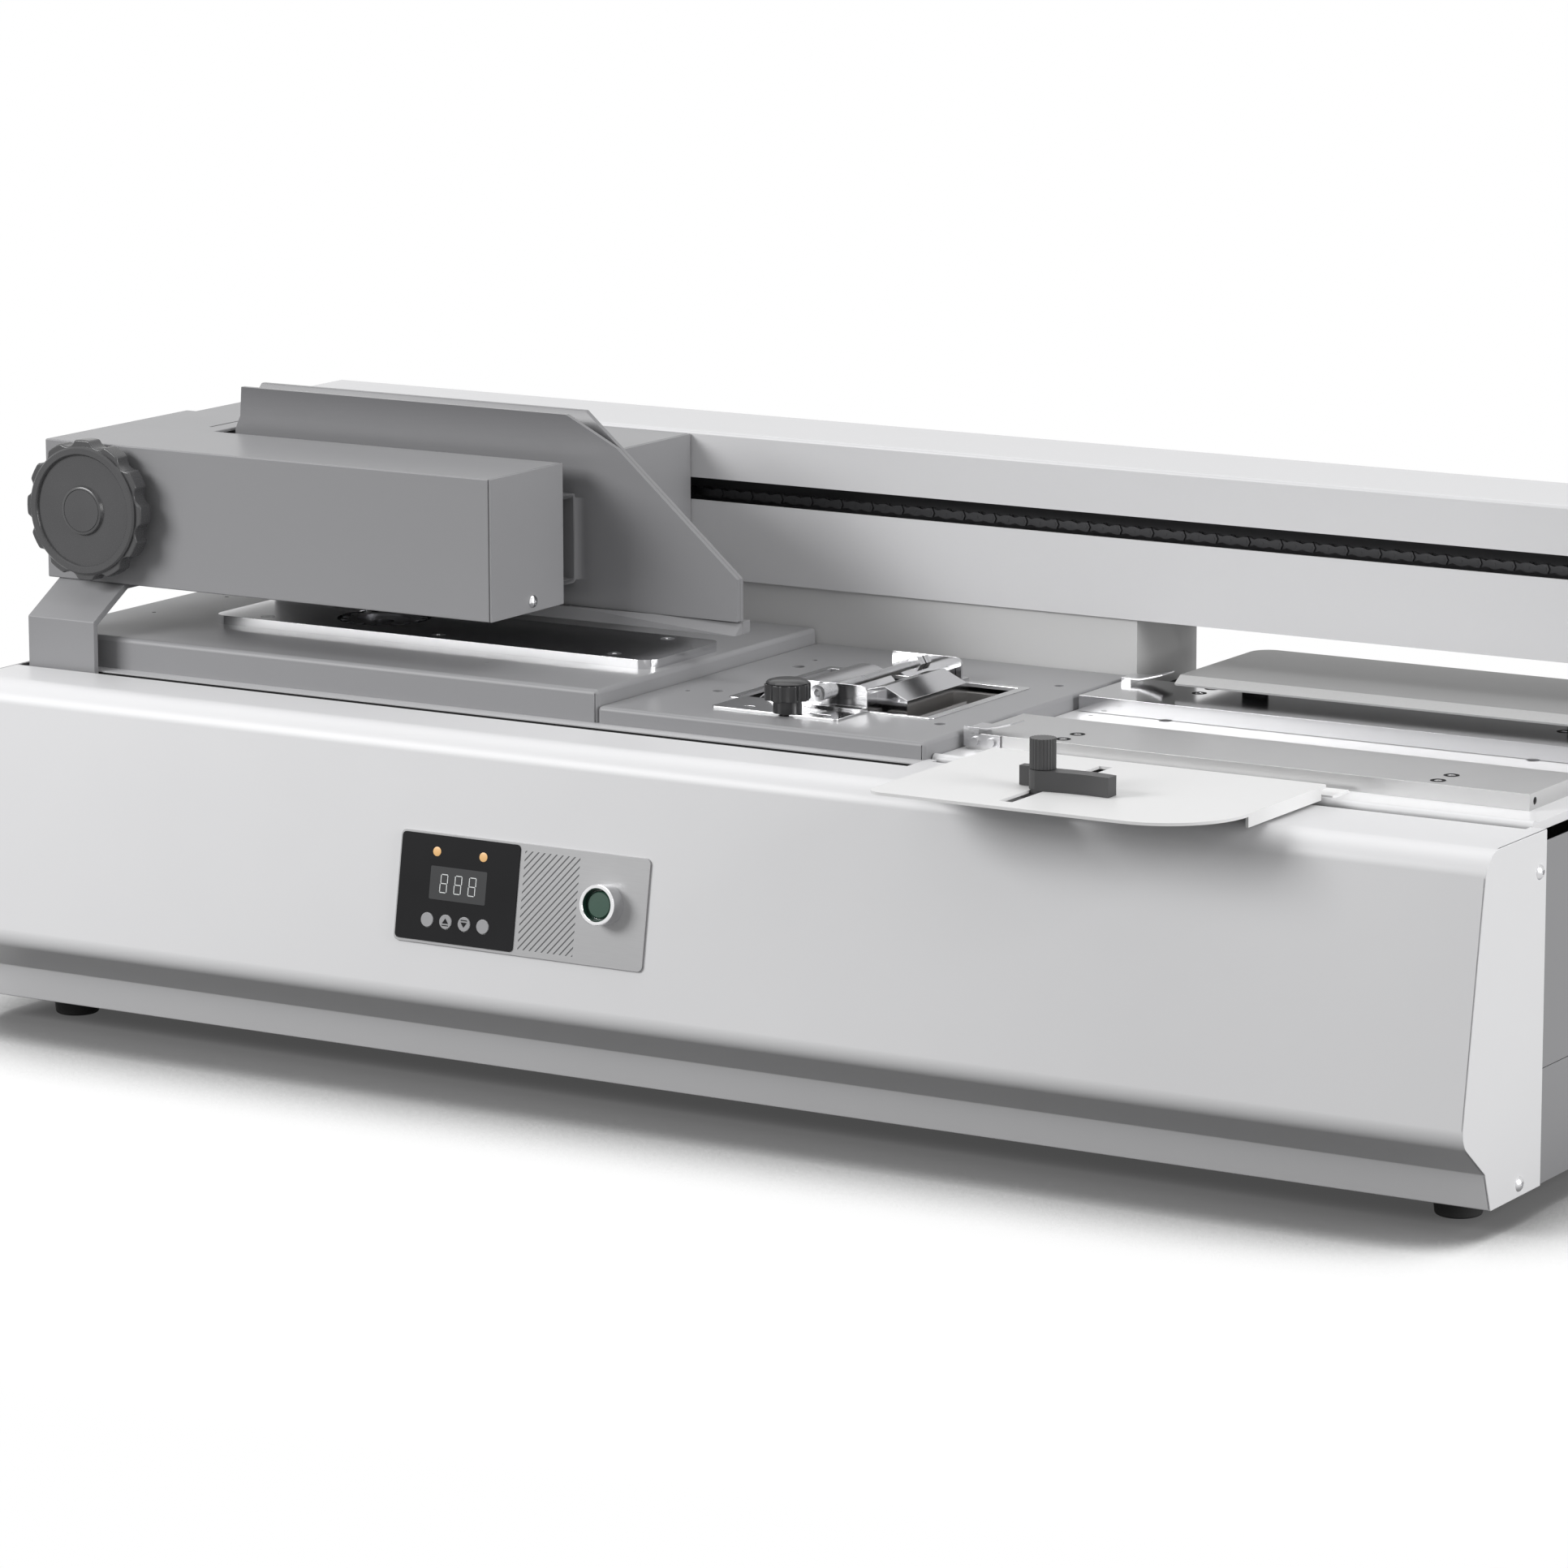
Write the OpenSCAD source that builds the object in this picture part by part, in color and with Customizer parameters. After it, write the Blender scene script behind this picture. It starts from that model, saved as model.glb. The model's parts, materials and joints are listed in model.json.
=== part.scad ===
// Desk-top perfect binding machine: a clamp carriage runs along a rear gantry, over a
// levelling plate and a glue roller, to a lifting nip table that presses the cover on.
// Millimetres. x runs along the machine from its middle, z up from the desk.
// Inside the modules y runs back from the foot of the front cover.

/* [Base and cover] */
// Length of the machine
machine_l = 1200; // [1150:10:1300]
// Depth from the foot of the front cover to the rear panel
base_d = 450; // [446:1:500]
// Height of the front cover without its feet
cover_h = 233.5; // [225:0.5:245]
// Depth of the front cover where it closes the nip table
cover_d = 74; // [70:1:78]
// How far the cover's belly stands out in front of its foot
belly_out = 43; // [30:1:50]
// Thickness of the cover sheet
cover_t = 2; // [1.5:0.5:2.5]
// Height of the rubber feet
foot_h = 19; // [15:1:25]
// Diameter of the rubber feet
foot_d = 35; // [28:1:40]
// Thickness of the pan, deck and frame plates
plate_t = 3; // [2.5:0.5:4]
// Height of the turned-up walls of the base pan
pan_wall_h = 76; // [60:1:90]
// Width of the slot that the carriage leg runs in
leg_slot_w = 7.5; // [7:0.5:9]

/* [Milling and levelling station] */
// Height of the milling station's cover above the deck
mill_rise = 23; // [20:1:26]
// Thickness of the polished levelling plate
level_t = 6.5; // [5:0.5:8]
// Length of the levelling plate
level_l = 378; // [340:1:380]
// Depth of the levelling plate
level_d = 96; // [90:1:104]
// Diameter of the milling cutter
cutter_d = 62; // [50:1:64]
// Number of teeth on the milling cutter
cutter_teeth = 16; // [8:1:20]
// Diameter of the milling motor
motor_d = 96; // [80:1:110]

/* [Glue station] */
// Length of the glue station along the machine
glue_l = 260; // [255:1:262]
// Height of the glue station's cover above the deck
glue_rise = 12; // [11:0.5:14]
// Diameter of the glue roller
roller_d = 60; // [50:1:60]
// How far the glue tank is lifted to bring its roller to the book's back
tank_lift = 9.5; // [5:0.5:9.5]
// Length of the glue roller
roller_l = 112; // [90:1:112]
// Diameter of the glue roller's shaft
roller_shaft_d = 12; // [10:1:14]
// Diameter of the lobed glue knob
glue_knob_d = 32; // [26:1:34]

/* [Gantry] */
// Height of the gantry box
gantry_h = 108; // [100:1:115]
// Depth of the gantry box
gantry_d = 93.5; // [90:0.5:100]
// Height of the underside of the gantry box above the deck
gantry_rise = 52; // [50:1:60]
// Height of the slot in the gantry's front
rail_slot_h = 16.5; // [15:0.5:18]
// Number of teeth on the chain wheels
sprocket_teeth = 12; // [10:1:14]

/* [Carriage and clamp] */
// Length of the carriage's front box
box_l = 386.5; // [370:0.5:400]
// Depth of the carriage's front box
box_d = 92; // [85:1:95]
// Height of the carriage boxes
box_h = 101; // [95:1:102]
// Thickness of the carriage sheet
box_t = 2; // [1.5:0.5:2.5]
// Width of the carriage's left arm
arm_w = 84; // [76:1:86]
// Thickness of a clamp plate
jaw_t = 4; // [3:0.5:5]
// Length of the clamp plates at their foot
jaw_l = 430; // [420:1:436]
// How far the rear clamp plate opens
jaw_open = 40; // [20:1:42]
// Height of the clamp's foot above the levelling plate
jaw_gap = 16; // [14:1:18]
// Diameter of the lobed handwheel
wheel_d = 102; // [90:1:103]
// Number of lobes on the handwheel
wheel_lobes = 12; // [8:1:14]
// How far the carriage travels to the nip table
carriage_travel = 655; // [600:1:656]

/* [Nip table] */
// Length of the nip plates
nip_l = 417; // [400:1:421]
// Depth of the nip plates
nip_d = 78.5; // [74:0.5:80]
// Thickness of the nip plates
nip_t = 11; // [10:0.5:12]
// How far the rear nip plate slides forward
nip_close = 70; // [40:1:72]
// How far the nip table lifts
nip_lift = 27; // [10:1:28]
// Diameter of the guide rods under the nip table
lift_rod_d = 16; // [12:1:20]

/* [Feed tables] */
// Length of the front feed table
table_l = 248; // [235:1:250]
// Depth of the front feed table
table_d = 171; // [150:1:172]
// Thickness of the feed table sheet
table_t = 2; // [1.5:0.5:2.5]
// Height of the table's turned-down sides
table_edge_h = 9; // [7:0.5:9]
// Radius of the table's round front corner
table_r = 60; // [30:1:70]
// Width of the slot that the side guide slides in
guide_slot_w = 10; // [8:0.5:12]
// Diameter of the ribbed guide knob
guide_knob_d = 17.5; // [15:0.5:20]
// Height of the ribbed guide knob
guide_knob_h = 20; // [16:1:24]

/* [Control panel] */
// Length of the control panel
panel_l = 202; // [190:1:215]
// Height of the control panel along the cover's face
panel_h = 75; // [72:1:80]
// Thickness of the control panel
panel_t = 1.5; // [1:0.5:2]
// Diameter of the start button's ring
start_ring_d = 29; // [26:0.5:32]
// How far the start button's ring stands out
start_ring_h = 13; // [10:1:15]
// Travel of the start button
start_travel = 3; // [2:0.5:4]
// Diameter of the four small keys
key_d = 10; // [8:0.5:11]
// Travel of the small keys
key_travel = 0.5; // [0.3:0.1:0.6]

/* [Hidden] */
$fn = 48;

// Clearances: between still faces, between moving faces, and round a turning shaft
seat = 0.3;
run_gap = 0.7;
fit = 0.06;

// Places along the machine
half_l = machine_l / 2;
wall_x = half_l - 2 * cover_t - 1;          // outer face of the end frames
table_front = table_d - 83;                 // how far the feed table stands in front of y = 0
rear_y = base_d + 2;                        // rearmost face of the machine
mid_y = (rear_y - table_front) / 2;

// Heights
floor_z = foot_h + plate_t;
deck_z = foot_h + cover_h;
mill_z = deck_z + mill_rise;
level_z = mill_z + level_t;
glue_z = deck_z + glue_rise;
jaw_z = level_z + jaw_gap;
box_z = jaw_z + 13;
box_top = box_z + box_h;
hood_top = box_top - 2;
gantry_z = deck_z + gantry_rise;
gantry_top = gantry_z + gantry_h;
slot_z = gantry_z + 57;
tray_z = deck_z + 1;
nip_z = tray_z + nip_t;
spine_z = level_z + 1;                      // the level that a book's back travels at

// Depths
slot_y = 48.5;
deck_y = slot_y + leg_slot_w;
station_y = 69;
jaw_y = 200;                                // the plane that both clamp plates meet on
gantry_y = base_d - gantry_d + 2;
stand_y = gantry_y + 3;

// Stations along x
mill_x1 = -half_l + 486;
mill_x0 = -wall_x;
glue_x0 = mill_x1;
glue_x1 = mill_x1 + glue_l;
tray_x0 = glue_x1 + 1;
tray_x1 = half_l - 12;
post_w = 50;
post_x = [-wall_x + 8, glue_x1 + 2.6 - post_w, wall_x - 7 - post_w];

// ---------------------------------------------------------------- shared shapes

// Sets the machine's y to the middle of its depth
module place() translate([0, -mid_y, 0]) children();

function unit(v) = v / norm(v);
function left_of(v) = [-v.y, v.x];
// The points of a rounded corner at b, between a and c
function corner(a, b, c, r, n) = r <= 0 ? [b] :
    let (u = unit(a - b), v = unit(c - b), half = acos(u * v) / 2,
         m = b + unit(u + v) * (r / sin(half)), s = b + u * (r / tan(half)) - m,
         e = b + v * (r / tan(half)) - m, a0 = atan2(s.y, s.x),
         turn = (atan2(e.y, e.x) - a0 + 540) % 360 - 180)
    [for (i = [0:n]) m + r * [cos(a0 + turn * i / n), sin(a0 + turn * i / n)]];
// A closed outline with each corner rounded by its own radius
function rounded(pts, radii, n = 8) = let (k = len(pts))
    [for (i = [0:k - 1]) each corner(pts[(i + k - 1) % k], pts[i], pts[(i + 1) % k], radii[i], n)];
// An anticlockwise outline moved inwards by t
function inset(pts, t) = let (k = len(pts))
    [for (i = [0:k - 1]) let (
        n1 = left_of(unit(pts[i] - pts[(i + k - 1) % k])),
        n2 = left_of(unit(pts[(i + 1) % k] - pts[i])))
        pts[i] + (n1 + n2) * t / (1 + n1 * n2)];
function box_points(w, d) = [[0, 0], [w, 0], [w, d], [0, d]];

// A flat plate with rounded corners
module round_plate(w, d, t, r) linear_extrude(t) polygon(rounded(box_points(w, d), [r, r, r, r], 6));

// A box between two corners
module block(a, b) translate(a) cube(b - a);

// A cylinder along +Y or along +X
module rod_y(d, l) rotate([-90, 0, 0]) cylinder(d = d, h = l);
module rod_x(d, l) rotate([0, 90, 0]) cylinder(d = d, h = l);

// An outline drawn in (y, z) and drawn out along x
module along_x(x0, x1) translate([x0, 0, 0]) rotate([90, 0, 90]) linear_extrude(x1 - x0) children();
// An outline drawn in (x, z) and drawn out along y
module along_y(y0, y1) translate([0, y1, 0]) rotate([90, 0, 0]) linear_extrude(y1 - y0) children();

// A folded sheet box; each open side is named by an outward direction
module sheet_box(a, b, t, open = []) difference() {
    block(a, b);
    block(a + [t, t, t], b - [t, t, t]);
    for (o = open) {
        block(
            [o.x > 0 ? b.x - 2 * t : a.x + (o.x < 0 ? -1 : t),
             o.y > 0 ? b.y - 2 * t : a.y + (o.y < 0 ? -1 : t),
             o.z > 0 ? b.z - 2 * t : a.z + (o.z < 0 ? -1 : t)],
            [o.x < 0 ? a.x + 2 * t : b.x + (o.x > 0 ? 1 : -t),
             o.y < 0 ? a.y + 2 * t : b.y + (o.y > 0 ? 1 : -t),
             o.z < 0 ? a.z + 2 * t : b.z + (o.z > 0 ? 1 : -t)]);
    }
}

// A button-head screw that points along -z from the face it holds
module button_screw(d, grip) {
    head_d = 2 * d;
    difference() {
        intersection() {
            cylinder(d = head_d, h = 0.55 * d);
            translate([0, 0, -0.62 * d]) sphere(d = 2.3 * d);
        }
        translate([0, 0, 0.25 * d]) cylinder(d = 0.66 * d, h = d, $fn = 6);
    }
    translate([0, 0, -grip]) cylinder(d = d, h = grip);
}

// A countersunk screw flush with z = 0, and the hole that it sits in
module flat_screw(d, grip) difference() {
    union() {
        translate([0, 0, -0.5 * d]) cylinder(d1 = d, d2 = 2 * d, h = 0.5 * d);
        translate([0, 0, -grip]) cylinder(d = d, h = grip);
    }
    translate([0, 0, -0.3 * d]) cylinder(d = 0.7 * d, h = d, $fn = 6);
}
module flat_screw_hole(d, depth) {
    translate([0, 0, -0.5 * d - 0.1]) cylinder(d1 = d, d2 = 2 * d + 0.4, h = 0.5 * d + 0.12);
    translate([0, 0, -depth]) cylinder(d = d + 0.4, h = depth);
}

// A round hand grip with lobes: scallops are cut between them
module lobed(d, h, lobes, bite) difference() {
    cylinder(d = d, h = h, $fn = 96);
    for (i = [0:lobes - 1]) rotate((i + 0.5) * 360 / lobes)
        translate([d / 2 + bite * 0.55, 0, -1]) cylinder(d = 2 * bite, h = h + 2, $fn = 24);
}

// ---------------------------------------------------------------- front cover

// The cover's end outline, from its foot round the belly to its top, in (y, z)
cover_pts = [
    [0, foot_h], [cover_d, foot_h], [cover_d, deck_z], [-13, deck_z],
    [-belly_out - 0.7, foot_h + 52], [-9, foot_h + 25.5]
];
cover_radii = [1, 0, 0, 19, 15, 3];
belly_lean = atan2(belly_out - 12.3, cover_h - 52);
// The face's line: y at a height z on the flat front
function face_y(z) = -13 - (deck_z - z) * (belly_out + 0.7 - 13) / (cover_h - 52);

// Screws through the end caps into the end frames, as (y, z)
cap_screws = [[63.8, deck_z - 26], [41.5, foot_h + 8.5]];
m5 = 5.3;

// Cuts the front face: children are drawn with +z out of the face, y up along it
module on_face(x, z) translate([x, face_y(z), z])
    rotate([90 - face_tilt, 0, 0]) children();
face_tilt = atan((belly_out + 0.7 - 13) / (cover_h - 52));

module front_cover() color([0.87, 0.87, 0.88]) difference() {
    along_x(-half_l, half_l) polygon(rounded(cover_pts, cover_radii, 10));
    // the room inside, open towards the base
    along_x(-half_l + cover_t, half_l - cover_t)
        polygon(rounded(inset([for (p = cover_pts) p.x == cover_d ? [p.x + 10, p.y] : p], cover_t),
            [0.1, 0, 0, 19 - cover_t, 15 - cover_t, 3], 10));
    // the pan's floor takes the place of the cover's foot
    block([-half_l + cover_t, 18, foot_h - 1], [half_l - cover_t, cover_d + 1, foot_h + cover_t + 1]);
    // over the stations the top stops at the leg slot
    block([-half_l + cover_t, slot_y, deck_z - cover_t - 1], [glue_x1, cover_d + 1, deck_z + 1]);
    for (s = [-1, 1], p = cap_screws) translate([s * half_l, p.x, p.y])
        rotate([0, 90 * s, 0]) translate([0, 0, -5]) cylinder(d = m5 + 0.4, h = 10);
    // cut-outs behind the panel for the display, the keys and the start switch
    on_face(panel_x - panel_l / 2 + 50, panel_z) block([-40, -30, -5], [40, 30, 5]);
    on_face(start_x, start_z) translate([0, 0, -6]) cylinder(d = 23, h = 12);
}

// ---------------------------------------------------------------- base

pan_y0 = 18 + seat;
module base_pan() color([0.54, 0.54, 0.56]) difference() {
    union() {
        block([-half_l + cover_t + seat, pan_y0, foot_h], [half_l - cover_t - seat, base_d, floor_z]);
        for (s = [-1, 1]) block([s > 0 ? side_x : -side_x - side_t, cover_d + 2, floor_z],
                                [s > 0 ? side_x + side_t : -side_x, base_d, foot_h + pan_wall_h]);
        block([-side_x, base_d - plate_t, floor_z], [side_x, base_d, foot_h + pan_wall_h]);
    }
    for (x = foot_x, y = foot_y) translate([x, y, foot_h - 1]) cylinder(d = 6.4, h = 10);
    // cooling slots under the motor and the glue tank
    for (x = [mill_motor_x, roller_x], i = [-3:3]) translate([x + i * 14 - 3, 150, foot_h - 1])
        round_plate(6, 90, 10, 2.9);
}

side_t = 2.5;
side_x = wall_x + seat;
// A side panel stands on the pan's wall and stops below the deck
module side_panels() color([0.54, 0.54, 0.56])
    for (s = [-1, 1]) block(
        [s > 0 ? side_x : -side_x - side_t, cover_d + 2, foot_h + pan_wall_h + seat],
        [s > 0 ? side_x + side_t : -side_x, base_d, deck_z - 9]);

louvre_n = 9;
inlet_x = 420;
inlet_z = 60;
module rear_panel() color([0.54, 0.54, 0.56]) difference() {
    block([-side_x + seat, base_d - plate_t, foot_h + pan_wall_h + seat],
          [side_x - seat, base_d, deck_z - plate_t - seat]);
    for (x = [mill_motor_x, 40], i = [0:louvre_n - 1])
        translate([x - 45, base_d - plate_t - 1, 120 + i * 12]) rotate([-90, 0, 0])
            translate([0, -5, 0]) round_plate(90, 5, plate_t + 2, 2.4);
}

// End frames, and a frame under each end of the stations
frame_x = [-wall_x, mill_x1 - 30, glue_x1 - plate_t - seat, wall_x - plate_t];
module inner_frames() color([0.6, 0.6, 0.62]) {
    for (i = [0:3]) let (x = frame_x[i], top = i == 3 ? deck_z - 12 : deck_z - plate_t)
        difference() {
            block([x, i == 0 || i == 3 ? 22 : 62, floor_z], [x + plate_t, base_d - plate_t - seat, top]);
            for (j = [0:2]) translate([x - 1, 120 + j * 110, floor_z + 95])
                rotate([0, 90, 0]) cylinder(d = 70, h = plate_t + 2);
            for (p = cap_screws) translate([x - 1, p.x, p.y]) rod_x(m5 + 0.4, plate_t + 2);
        }
    // the shelf between the middle frames guides the tank's two rods
    difference() {
        block([frame_x[1] + plate_t - 0.01, tank_rods[0].y - 25, shelf_z],
              [frame_x[2] + 0.01, tank_rods[0].y + 25, shelf_z + shelf_t]);
        for (p = tank_rods) translate([p.x, p.y, shelf_z - 1]) cylinder(d = tank_rod_d + 2 * fit, h = shelf_t + 2);
    }
    // spacers that the cover's end caps are screwed to
    for (s = [-1, 1], p = cap_screws) translate([s > 0 ? wall_x : -wall_x - cap_gap, p.x, p.y])
        difference() {
            rod_x(10, cap_gap);
            translate([-1, 0, 0]) rod_x(m5 + 0.4, cap_gap + 2);
        }
}
cap_gap = half_l - cover_t - wall_x;

// The deck, with a front flange beside the leg slot and openings under both stations
module top_deck() color([0.8, 0.8, 0.81]) difference() {
    union() {
        block([-wall_x, deck_y, deck_z - plate_t], [glue_x1, base_d, deck_z]);
        block([-wall_x + plate_t + seat, deck_y, deck_z - 22], [mill_x1 - 30 - seat, deck_y + plate_t, deck_z - 2]);
    }
    translate([mill_motor_x, cutter_y, deck_z - 10]) cylinder(d = motor_d + 6, h = 20);
    block([tank_x0 - 4, tank_y0 - 8, deck_z - 10], [tank_x1 + 4, tank_y1 + 20, deck_z + 10]);
    translate([knob_x, knob_y, deck_z - 10]) cylinder(d = 12, h = 20);
}

foot_x = [-half_l + 46, half_l - 46];
foot_y = [50, base_d - 35];
module rubber_feet() color([0.12, 0.12, 0.12]) for (x = foot_x, y = foot_y) translate([x, y, 0]) {
    difference() {
        rotate_extrude() polygon(rounded(
            [[0, 0], [foot_d / 2 - 2, 0], [foot_d / 2, foot_h], [0, foot_h]], [0, 2, 1, 0], 4));
        translate([0, 0, -1]) cylinder(d = 12, h = 5);
    }
    translate([0, 0, foot_h]) cylinder(d = 6, h = plate_t + 4);
}

// Every screw of the base that shows
module screws() color([0.82, 0.82, 0.84]) {
    for (s = [-1, 1], p = cap_screws) translate([s * half_l, p.x, p.y]) rotate([0, 90 * s, 0])
        button_screw(m5, 9);
    for (x = plate_screw_x, y = plate_screw_y) translate([x, y, level_z])
        flat_screw(m5, level_t + cover_t + 1);
}

// ---------------------------------------------------------------- milling station

level_x = mill_x1 - 10 - level_l;
plate_screw_x = [for (i = [0:2]) level_x + 41 + i * (level_l - 79.4) / 2];
plate_screw_y = [jaw_y - 35, jaw_y + 35];
cutter_x = level_x + 115.5;
cutter_y = jaw_y + 5;
mill_motor_x = cutter_x;
cutter_hole = cutter_d + 6;
mill_back = stand_y - seat;

module milling_box() color([0.57, 0.57, 0.59]) difference() {
    sheet_box([mill_x0, station_y, deck_z], [mill_x1 - seat, mill_back, mill_z], cover_t, [[0, 0, -1]]);
    translate([cutter_x, cutter_y, mill_z - 10]) cylinder(d = cutter_hole, h = 20);
    for (x = plate_screw_x, y = plate_screw_y) translate([x, y, mill_z - 10]) cylinder(d = m5 + 0.4, h = 20);
}

module levelling_plate() color([0.82, 0.82, 0.84]) difference() {
    translate([level_x, jaw_y - level_d / 2, mill_z]) round_plate(level_l, level_d, level_t, 12);
    translate([cutter_x, cutter_y, mill_z - 1]) cylinder(d = cutter_hole, h = level_t + 2, $fn = 64);
    for (x = plate_screw_x, y = plate_screw_y) translate([x, y, level_z]) flat_screw_hole(m5, level_t + 1);
}

// A disc cutter with raked teeth round its rim, on the motor's spindle; it rises through the plate
spindle_d = 14;
cutter_t = 7;
module milling_cutter() color([0.75, 0.75, 0.77]) translate([cutter_x, cutter_y, level_z - 0.4 - cutter_t]) {
    difference() {
        cylinder(d = cutter_d, h = cutter_t, $fn = 64);
        for (i = [0:cutter_teeth - 1]) rotate(i * 360 / cutter_teeth)
            translate([cutter_d / 2 - 5, 0, -1]) rotate(-20) cube([9, 5, cutter_t + 2]);
        translate([0, 0, cutter_t - 2.2]) cylinder(d = cutter_d - 22, h = 5);
        translate([0, 0, -1]) cylinder(d = spindle_d + 0.4, h = cutter_t + 2);
    }
    // clamp washer and nut
    translate([0, 0, -10]) difference() {
        cylinder(d = 24, h = 10);
        translate([0, 0, -1]) cylinder(d = spindle_d + 2 * fit, h = 12);
    }
}

motor_top = deck_z - 40;
module milling_motor() color([0.3, 0.3, 0.32]) {
    translate([mill_motor_x, cutter_y, 0]) {
        translate([0, 0, floor_z]) difference() {
            cylinder(d = motor_d, h = motor_top - floor_z, $fn = 64);
            // cooling ribs
            for (i = [0:9]) translate([0, 0, 20 + i * 14]) difference() {
                cylinder(d = motor_d + 2, h = 5);
                translate([0, 0, -1]) cylinder(d = motor_d - 6, h = 7);
            }
        }
        translate([0, 0, motor_top]) cylinder(d = 46, h = 14);
        translate([0, 0, motor_top + 14]) cylinder(d = spindle_d, h = level_z - cutter_t - motor_top - 13);
    }
}

// ---------------------------------------------------------------- glue station

mouth_x0 = glue_x0 + 64;                     // the mouth in the glue box's top
mouth_x1 = mouth_x0 + 152;
mouth_y0 = jaw_y - 53;
mouth_y1 = mouth_y0 + roller_l + 14.2;
tank_x0 = mouth_x0 + 0.5;
tank_x1 = mouth_x1 - 2;
tank_wall = 5.4;
tank_y0 = mouth_y0 + 0.7;
tank_y1 = mouth_y1 - 0.7;
roller_y0 = tank_y0 + tank_wall + 1;
roller_x = mouth_x0 + 35;
roller_z = spine_z - 0.5 - tank_lift - roller_d / 2;
tank_top = glue_z - 5;
tank_floor = roller_z - roller_d / 2 - 6;
knob_x = mouth_x0 + 65;
knob_y = jaw_y - 92.4;
rod_x_pos = mouth_x0 + 72.5;
rod_z = glue_z + 11.5;
stirrer_x = tank_x1 - 19;
plate_x1 = mouth_x0 + 107;
holes = [[-23.4, 13, 8], [-24.7, 123, 9], [171, -15, 8], [171, 151.5, 7], [-28, 150.6, 4], [-42, 3, 4]];

module glue_box() color([0.57, 0.57, 0.59]) difference() {
    sheet_box([glue_x0, station_y - 0.6, deck_z], [glue_x1, stand_y - seat, glue_z], cover_t, [[0, 0, -1]]);
    block([mouth_x0, mouth_y0, glue_z - 9], [mouth_x1, mouth_y1, glue_z + 9]);
    translate([knob_x, knob_y, glue_z - 10]) cylinder(d = 12, h = 20);
    // round adjusting holes in the tray's top
    for (p = holes) translate([mouth_x0 + p.x, mouth_y0 + p.y, glue_z - 10]) cylinder(d = p.z, h = 20);
}

// A polished plate in front of the tank's mouth, and a thin frame round the mouth
module glue_plate() color([0.82, 0.82, 0.84]) difference() {
    union() {
        translate([mouth_x0 + 6, jaw_y - 97, glue_z]) round_plate(plate_x1 - mouth_x0 - 6, 43.2, 1.5, 3);
        translate([mouth_x0 - 5, mouth_y0 - 4, glue_z]) round_plate(mouth_x1 - mouth_x0 + 12, mouth_y1 - mouth_y0 + 11, 0.6, 3);
    }
    block([mouth_x0, mouth_y0, glue_z - 1], [mouth_x1, mouth_y1, glue_z + 9]);
    translate([knob_x, knob_y, glue_z - 1]) cylinder(d = 12, h = 9);
    translate([mouth_x0 + 26, jaw_y - 88, glue_z - 1]) round_plate(9, 5, 9, 2.4);
    translate([mouth_x0 + 78, jaw_y - 89.5, glue_z - 1]) round_plate(19, 4.5, 9, 2.2);
}

// The tank is lifted on two rods, which slide in the shelf below it
tank_rods = [[tank_x0 + 40, jaw_y + 5], [tank_x1 - 40, jaw_y + 5]];
tank_rod_d = 12;
tank_rod_l = 70;
shelf_t = 8;
shelf_z = tank_floor - tank_rod_l + tank_lift;
module glue_tank() color([0.7, 0.68, 0.64]) {
    difference() {
        block([tank_x0, tank_y0, tank_floor - 6], [tank_x1, tank_y1, tank_top]);
        block([tank_x0 + 3.5, tank_y0 + tank_wall, tank_floor], [tank_x1 - 3, tank_y1 - tank_wall, tank_top + 1]);
        translate([roller_x, tank_y0 - 1, roller_z]) rod_y(roller_shaft_d + 2 * fit, tank_y1 - tank_y0 + 2);
        // the doctor box's bar passes through a notch in each end wall
        block([box_x + 1.7, tank_y0 - 1, box_bar_z - tank_lift - 1], [box_x + 9.3, tank_y1 + 1, tank_top + 1]);
        // pockets for the heater cartridges
        for (x = [30, 75, 120]) translate([tank_x0 + x, tank_y0 - 1, tank_floor - 3]) rod_y(3, 80);
    }
    // a bright return rod beside the doctor box
    translate([stirrer_x, tank_y0 + 2.2, tank_top - 8.5]) rod_y(8, tank_y1 - tank_y0 - 4.4);
    for (p = tank_rods) translate([p.x, p.y, tank_floor - 6 - tank_rod_l]) cylinder(d = tank_rod_d, h = tank_rod_l + 0.01);
}

// The roller and its shaft, which turns in the tank's end walls
module glue_roller() color([0.85, 0.85, 0.86]) translate([roller_x, 0, roller_z]) {
    translate([0, roller_y0, 0]) rod_y_fine(roller_d, roller_l);
    translate([0, tank_y0 - 4, 0]) rod_y(roller_shaft_d, tank_y1 - tank_y0 + 18);
}
module rod_y_fine(d, l) rotate([-90, 0, 0]) cylinder(d = d, h = l, $fn = 96);

// The doctor box beside the roller: five-sided, on a square bar between the cheeks
box_x = rod_x_pos + 20.5;
box_ridge_z = glue_z + 14.5;
box_bar_z = box_ridge_z - 12;
scraper_y0 = jaw_y - 34;
scraper_y1 = scraper_y0 + 82;
module scraper_box() color([0.86, 0.86, 0.87]) {
    difference() {
        union() {
            along_y(scraper_y0, scraper_y1) polygon([
                [box_x, box_ridge_z - 27], [box_x + 32.5, box_ridge_z - 27], [box_x + 32.5, box_ridge_z - 8.4],
                [box_x + 14, box_ridge_z], [box_x, box_ridge_z - 3.5]]);
            along_y(cheek_y[0] + 1, cheek_y[1] + 1) polygon([
                [box_x + 2, box_bar_z], [box_x + 9, box_bar_z], [box_x + 9, box_bar_z + 8], [box_x + 2, box_bar_z + 8]]);
        }
        // the box is open below
        along_y(scraper_y0 + 2, scraper_y1 - 2) polygon([
            [box_x + 2, box_ridge_z - 28], [box_x + 30.5, box_ridge_z - 28],
            [box_x + 30.5, box_ridge_z - 24], [box_x + 2, box_ridge_z - 24]]);
    }
}

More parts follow.
